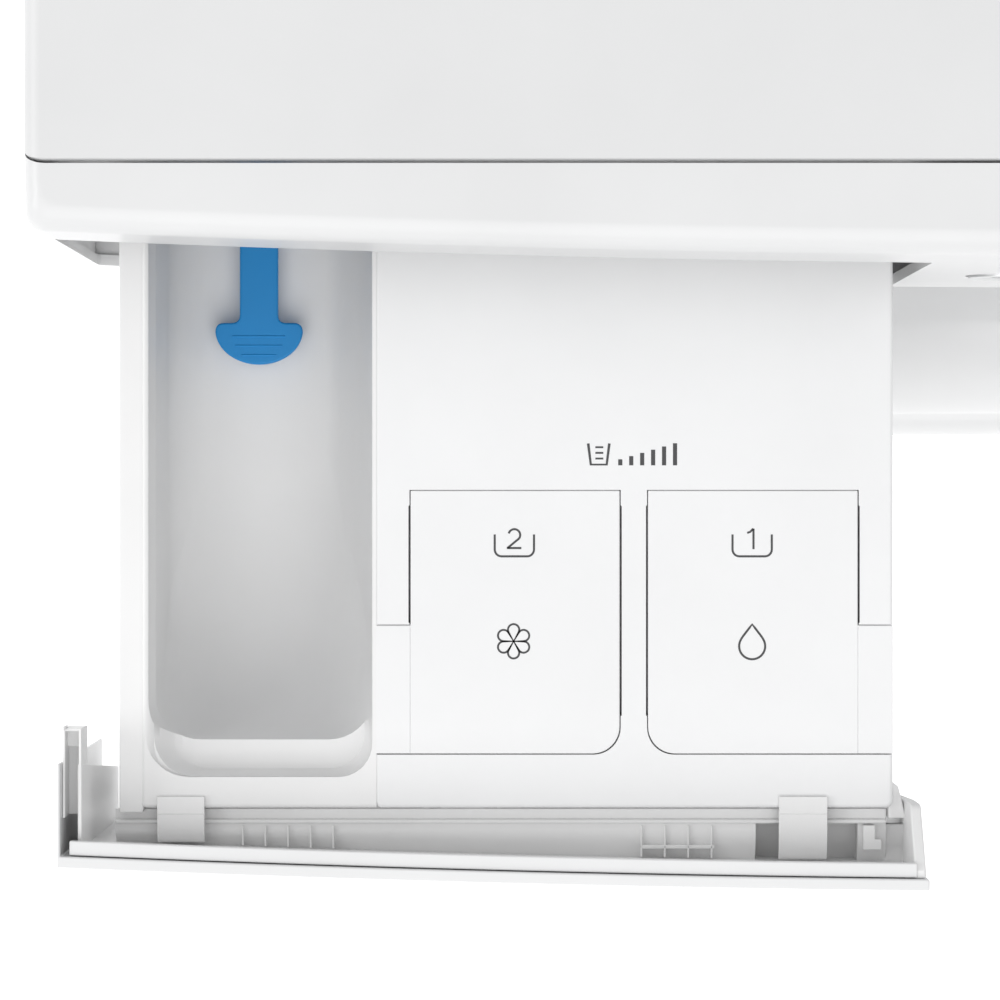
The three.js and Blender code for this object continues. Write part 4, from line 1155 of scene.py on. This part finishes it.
def pierced(points, corners, radius, centre, along, size=2.3):
    """Faces from a patch's corners to the hole in its middle, whose points are added to the list."""
    hole = len(points)
    for n in range(8):
        turn = math.radians(225 + 45 * n)
        angle = centre + math.cos(turn) * size / radius
        points.append((radius * math.cos(angle), along + math.sin(turn) * size,
                       door_z + radius * math.sin(angle)))
    return [[corners[n], corners[(n + 1) % 4], hole + (2 * n + 2) % 8, hole + 2 * n + 1, hole + 2 * n]
            for n in range(4)]


def add_drum():
    """The perforated drum: a lip, a front wall, a wall full of holes and a dished back."""
    (_, outside), (front, behind), _ = extent("drum_shell")
    sheet = 1.2
    radius, back = outside - sheet / 2, behind - sheet / 2
    columns, rows = 90, 18
    lead = moved(0, front, (150.6, 7), (150.6, 2), (153, 0.6), (160, 0.6), (166, 5), (172, 8.6),
                 (radius - 9, 8.6), (radius - 3, 10.5), (radius, 16))
    tail = moved(0, back, (radius, -9), (radius - 3, -3), (radius - 9, 0), (190, 0), (180, -5), (90, -5),
                 (80, 0), (TINY, 0))
    start, end = front + 20, back - 12
    step = (end - start) / rows
    points, faces = [], []

    def ring(r, along):
        """Add a ring of points, and give the number of its first one."""
        turns = [math.tau * i / columns for i in range(columns)]
        points.extend((r * math.cos(t), along, door_z + r * math.sin(t)) for t in turns)
        return len(points) - columns

    def bands(rings):
        """Add the faces between each ring and the next."""
        for low, high in zip(rings, rings[1:]):
            faces.extend([low + i, low + (i + 1) % columns, high + (i + 1) % columns, high + i]
                         for i in range(columns))

    lead_rings = [ring(r, along) for r, along in lead]
    levels = [ring(radius, start + (end - start) * j / rows) for j in range(rows + 1)]
    bands(lead_rings + levels[:1])
    for j in range(rows):
        offset = 0.12 if j % 2 else -0.12
        for i in range(columns):
            k = (i + 1) % columns
            corners = [levels[j] + i, levels[j] + k, levels[j + 1] + k, levels[j + 1] + i]
            centre = math.tau / columns * (i + 0.5 + offset)
            faces += pierced(points, corners, radius, centre, start + step * (j + 0.5))
    bands(levels[-1:] + [ring(r, along) for r, along in tail])
    drum = make("perforated_drum", points, faces, 50)
    piece(thicken(drum, sheet), "drum", "stainless", "drum_shell")


# ---------------- cabinet


def add_front_panel():
    """The pressed front with folded edges, a rolled rim round the mouth and its openings."""
    x, y, z = extent("front_panel")
    bend, sheet = 8, 1.2
    corner = (x[0] + bend, y[0] + bend)
    left = [(x[0], y[1])] + arc(corner, bend, 180, 270)
    lining = [(x[0] + sheet, y[1])] + arc(corner, bend - sheet, 180, 270)
    outer = left + [(-u, v) for u, v in reversed(left)]
    inner = lining + [(-u, v) for u, v in reversed(lining)]
    panel = prism("pressed_front", outer + inner[::-1], UP, z)
    span = (y[0] - 3, y[0] + 6)
    radius = 168
    clearance = 0.6
    tools = [
        prism("mouth", circle(0, door_z, radius, 160), "Y", span),
        block("hook_slot", grown(extent("door_latch")[0], 6), span, around(door_z, 16)),
        prism("flap_opening", rounded(grown(flap_x, clearance), grown(flap_z, clearance), 3), "Y", span),
    ]
    cut(panel, *tools, angle=30)
    rolled = door_lathe("rim", moved(radius, y[0], (-0.4, 0.3), (1.2, 0), (1.4, 1.1), (0.5, 1.5)))
    piece(joined("front_plate", panel, rolled), "cabinet", "white_steel", "front_panel")


def add_flap():
    """The service flap with softened edges and a finger hollow."""
    door = prism("flap", rounded(flap_x, flap_z, 2.5), "Y", flap_y, 0.5)
    apply_modifiers(door, 35)
    finger = rounded(around(middle(flap_x), 15), (flap_z[1] - 10, flap_z[1] - 4), 3)
    hollow = prism("hollow", finger, "Y", (flap_y[0] - 1, flap_y[0] + 1.1))
    piece(cut(door, hollow), "flap", "panel_plastic", "pump_flap")


def pressed(name, axis, rings, sheet=1.1):
    """A pressed sheet: rounded rectangles one after another, the last one filled."""
    skins = [[placed(point, axis, along) for point in rounded(u, v, radius)] for u, v, radius, along in rings]
    return soften(thicken(stack(name, skins, 50, caps="last"), sheet), 0.5, 30, 2)


def add_side_panels():
    """The steel sides with a raised field, folded edges and the brackets of the springs."""
    steps = ((0, 1.5, 2.0), (55, 34, 2.0), (60, 30, 0.6), (72, 24, 0.6), (77, 20, 2.0), (120, 16, 2.0))
    for name, side in (("left", -1), ("right", 1)):
        x, y, z = extent(f"{name}_side_panel")
        outer = x[0] if side < 0 else x[1]
        inner = outer - side * 1.6
        rings = [(grown(y, -inset), grown(z, -inset), corner, outer - side * depth)
                 for inset, corner, depth in steps]
        parts = [pressed(f"{name}_side", "X", rings)]
        for fold_y in ((y[0], y[0] + 1.2), (y[1] - 1.2, y[1])):
            parts.append(block("fold", sorted((inner, outer - side * 20)), fold_y, (70, 700)))
        spring_x, spring_y, spring_z = extent(f"spring_{name}")
        hanger_x = sorted((inner, middle(spring_x) - side * 17))
        hanger_z = (spring_z[1] + 0.3, spring_z[1] + 4.3)
        parts.append(block("hanger", hanger_x, around(middle(spring_y), 12), hanger_z))
        piece(joined(f"{name}_side_sheet", *parts), "cabinet", "white_steel", f"{name}_side_panel")


def add_rear_cover():
    """The bulged rear cover with two swages, and the screws that hold it and the rear panel."""
    x, y, z = extent("rear_service_cover")
    front, back = grown(y, -0.6)
    deep = back - 3
    steps = ((0, 78, front), (23, 64, front), (28, 60, back), (70, 50, back), (74, 46, deep), (110, 36, deep))
    rings = [(grown(x, -inset), grown(z, -inset), corner, along) for inset, corner, along in steps]
    piece(pressed("belt_cover", "Y", rings), "cabinet", "white_steel", "rear_service_cover")
    places = []
    for way_x, way_z in ((1, 1), (1, -1), (-1, 1), (-1, -1)):
        places.append((way_x * (x[1] - 12), middle(z) + way_z * 120))
        places.append((way_x * 100, middle(z) + way_z * ((z[1] - z[0]) / 2 - 11)))
    washer = moved(0, y[0], (TINY, 1.2), (7, 1.2), (6.6, 2.4), (TINY, 2.4))
    screws = []
    for place in places:
        screws.append(lathe("washer", washer, place, sides=32))
        screws.append(prism("head", circle(*place, 4, sides=6), "Y", (y[0] + 2.3, y[0] + 6), 0.5))
    piece(joined("cover_screws", *screws), "cabinet", "steel")


def threaded(radius, start, end, pitch=1.8, depth=0.8):
    """Profile points of a screw thread as rings, from one end to the other."""
    count = int(abs(end - start) / pitch)
    step = (end - start) / count
    points = []
    for i in range(count):
        points += [(radius - depth, start + step * i), (radius, start + step * (i + 0.5))]
    return points + [(radius - depth, end)]


def add_feet():
    """Round feet with a ribbed pad, a threaded stud and a lock nut."""
    for number, place in enumerate(("front_left", "front_right", "rear_left", "rear_right"), 1):
        x, y, z = extent(f"foot_{place}")
        centre = (middle(x), middle(y))
        radius = (x[1] - x[0]) / 2
        pad = [(TINY, 0.8), (radius - 3, 0.8), (radius - 3, 0), (radius - 0.8, 0), (radius, 0.9),
               (radius, 3), (radius - 0.7, 3.6), (radius, 4.2), (radius, 5.4), (radius - 1.4, 6.6),
               (12, 11.6), (8, 13)]
        profile = pad + threaded(6, 13.5, z[1] - 1) + [(TINY, z[1])]
        turned = lathe("foot", profile, centre, UP, 48)
        nut = prism("nut", circle(*centre, 10.5, 6), UP, (13.2, 17.4), 0.6)
        whole = joined(f"levelling_foot_{number}", turned, nut)
        piece(whole, f"foot_{number}", "black_rubber", f"foot_{place}")


def add_inlet_valve():
    """The inlet valve: a moulded body, a coil and a threaded spigot."""
    x, y, z = extent("inlet_valve")
    centre = (middle(x), z[0] + 22)
    wall_y = extent("rear_panel")[1][1]
    tip_y = y[1]
    body = prism("valve_body", rounded(x, (z[0], z[0] + 44), 5), "Y", (y[0], wall_y - 12), 1.5)
    collar = moved(0, wall_y, (TINY, -13), (16.5, -13), (16.5, -2.5), (15.6, -2), (TINY, -2))
    thread = threaded(13, wall_y - 3, tip_y - 1.5, 2.2, 1.0)
    bore = moved(0, tip_y, (8, -15), (8, -0.4), (8.6, 0), (11.4, 0))
    spigot = bore + thread[::-1] + [(8, wall_y - 3)]
    turned = [lathe("collar", collar, centre, sides=48), lathe("spigot", spigot, centre, sides=64)]
    coil_x = (centre[0] - 18, centre[0] - 2)
    coil = rounded_box("coil", coil_x, (wall_y - 50, wall_y - 20), (z[0] + 43, z[1]), 4)
    piece(joined("water_inlet", body, *turned, coil), "cabinet", "white_plastic", "inlet_valve")


def add_outlet_plate():
    """The plate of the drain spigot, which has hose barbs, and of the mains lead's gland."""
    x, y, z = extent("outlet_plate")
    centre_x = middle(x)
    plate = prism("plate", rounded(x, z, 10), "Y", (y[0], y[0] + 3.7), 0.8)
    spigot_z, gland_z = z[1] - 26, z[0] + 20
    barbs = [(11, y[0] + 3.4)]
    for start in (y[0] + 5.5, y[0] + 8.5):
        barbs += moved(0, start, (10.8, 0), (12, 0.6), (10.8, 2.6))
    barbs += moved(0, y[1], (10.4, -0.3), (10, 0), (9.2, 0))
    spigot = lathe("spigot", barbs + [(9, y[0] + 3.4)], (centre_x, spigot_z), sides=48)
    nut = prism("gland_nut", circle(centre_x, gland_z, 10.4, 6), "Y", (y[0] + 3.4, y[0] + 7), 0.6)
    dome = moved(0, y[0], (4.5, 3.4), (8.8, 3.4)) + moved(0, y[1], (8.6, -4.6), (7.4, -2.6), (4.5, -2.2))
    holes = [prism("hole", circle(centre_x, spigot_z, 9.1), "Y", (y[0] - 2, y[0] + 5)),
             prism("hole", circle(centre_x, gland_z, 4.6), "Y", (y[0] - 2, y[0] + 9))]
    apply_modifiers(plate, 35)
    apply_modifiers(nut, 35)
    base = cut(joined("base", plate, nut), *holes)
    parts = [base, spigot, lathe("dome", dome, (centre_x, gland_z), sides=40)]
    piece(joined("outlets", *parts), "cabinet", "grey_plastic", "outlet_plate")


# ---------------- suspension and hoses


def add_springs():
    """Coil springs whose turns stretch between the cabinet and the tub."""
    for side in ("left", "right"):
        x, y, z = extent(f"spring_{side}")
        centre = (middle(x), middle(y))
        wire = 1.6
        radius = (x[1] - x[0]) / 2 - wire - 0.2
        turns, steps = 17, 16
        low, high = z[0] + wire + 0.3, z[1] - wire - 0.3
        path = []
        for i in range(turns * steps + 1):
            turn = math.tau * i / steps
            path.append((centre[0] + radius * math.cos(turn), centre[1] + radius * math.sin(turn),
                         low + (high - low) * i / (turns * steps)))
        coil = tube(f"coil_spring_{side}", path, wire, 8)
        flexible(coil, "steel", (*centre, high), (*centre, low), f"spring_{side}")


def corrugated(path, radius, pitch=6.0, depth=1.6):
    """A hose's path split evenly, and its radius at each point, in waves with smooth cuffs."""
    points = [Vector(point) for point in path]
    length = sum((b - a).length for a, b in zip(points, points[1:]))
    count = max(8, int(length / pitch) * 6)
    radii = []
    for i in range(count + 1):
        along = i / count
        wave = depth * (1 - math.cos(math.tau * along * int(length / pitch))) / 2
        radii.append(radius if min(along, 1 - along) * length < 8 else radius - wave)
    even, travelled, segment = [], 0.0, 0
    for i in range(count + 1):
        goal = length * i / count
        while segment < len(points) - 2 and travelled + (points[segment + 1] - points[segment]).length < goal:
            travelled += (points[segment + 1] - points[segment]).length
            segment += 1
        part = points[segment + 1] - points[segment]
        even.append(tuple(points[segment] + part * min(1.0, (goal - travelled) / part.length)))
    return even, radii


def add_hoses():
    """The corrugated hoses from the dosing housing to the tub and from the tub to the pump."""
    x, y, z = extent("fill_hose")
    upper, lower = [(middle(x), middle(y), height) for height in (z[1], z[0])]
    path, radii = corrugated([upper, lower], (x[1] - x[0]) / 2)
    flexible(tube("filling_hose", path, radii, 32), "seal_rubber", upper, lower, "fill_hose")
    x, y, z = extent("sump_hose")
    radius = (y[1] - y[0]) / 2
    start = (x[0] + radius, middle(y), z[1])
    end = (x[1], middle(y), z[0] + radius)
    path, radii = corrugated(curve(start, (start[0], start[1], end[2]), end, steps=24), radius)
    flexible(tube("drain_hose", path, radii, 28), "seal_rubber", end, start, "sump_hose")


# ---------------- stage


def add_light(name, place, target, size, power):
    """A square soft light, in metres."""
    data = bpy.data.lights.new(name, "AREA")
    data.shape = "RECTANGLE"
    data.energy = power
    data.size = data.size_y = size
    light = bpy.data.objects.new(name, data)
    light.location = place
    light.rotation_euler = (Vector(target) - Vector(place)).to_track_quat("-Z", "Y").to_euler()
    bpy.context.scene.collection.objects.link(light)


def add_stage():
    """A plain pale floor, weak daylight all round and soft lights above, ahead, behind and at the left."""
    reach = 60000
    floor = make("floor", [(-reach, -reach, 0), (reach, -reach, 0), (reach, reach, 0), (-reach, reach, 0)],
                 [[0, 1, 2, 3]])
    paper = finish("paper", (0.93, 0.93, 0.93), 0.9, mottle=0.004, patch=2, grain=700, relief=0.02)
    shader = paper.node_tree.nodes["Principled BSDF"]
    shader.inputs["Emission Color"].default_value = (1, 1, 1, 1)
    shader.inputs["Emission Strength"].default_value = 0.45
    floor.data.materials.append(paper)
    world = bpy.data.worlds.new("daylight")
    world.use_nodes = True
    world.node_tree.nodes["Background"].inputs["Color"].default_value = (1, 1, 1, 1)
    world.node_tree.nodes["Background"].inputs["Strength"].default_value = 0.6
    bpy.context.scene.world = world
    add_light("overhead", (-0.15, -1.5, 2.8), (-0.15, -0.6, 0.4), 2.2, 30)
    add_light("left", (-2.3, -0.35, 2.3), (-0.2, -0.3, 0.75), 1.2, 15)
    add_light("front", (-0.6, -3.0, 1.5), (0, -0.2, 0.6), 1.6, 4)
    add_light("back", (-1.2, 2.8, 1.8), (0, 0.2, 0.5), 1.4, 14)
    bpy.context.scene.view_settings.view_transform = "Standard"


def add_camera():
    """A long lens that looks straight down on the open drawer."""
    data = bpy.data.cameras.new("camera")
    data.lens = 130.5
    data.sensor_width = 36
    data.clip_end = 200
    camera = bpy.data.objects.new("camera", data)
    camera.location = (-0.1803, -0.2730, 1.748)
    bpy.context.scene.collection.objects.link(camera)
    bpy.context.scene.camera = camera


add_camera()
add_stage()
add_worktop()
add_fascia()
add_tray()
add_cover_and_lids()
add_cover_sign()
add_release_lever()
add_drawer_front()
add_carrier()
add_display()
add_knob()
add_buttons()
add_door()
add_door_frame()
add_bowl()
add_gasket()
add_drum()
add_front_panel()
add_flap()
add_side_panels()
add_rear_cover()
add_feet()
add_inlet_valve()
add_outlet_plate()
add_springs()
add_hoses()
dress_cad_nodes()
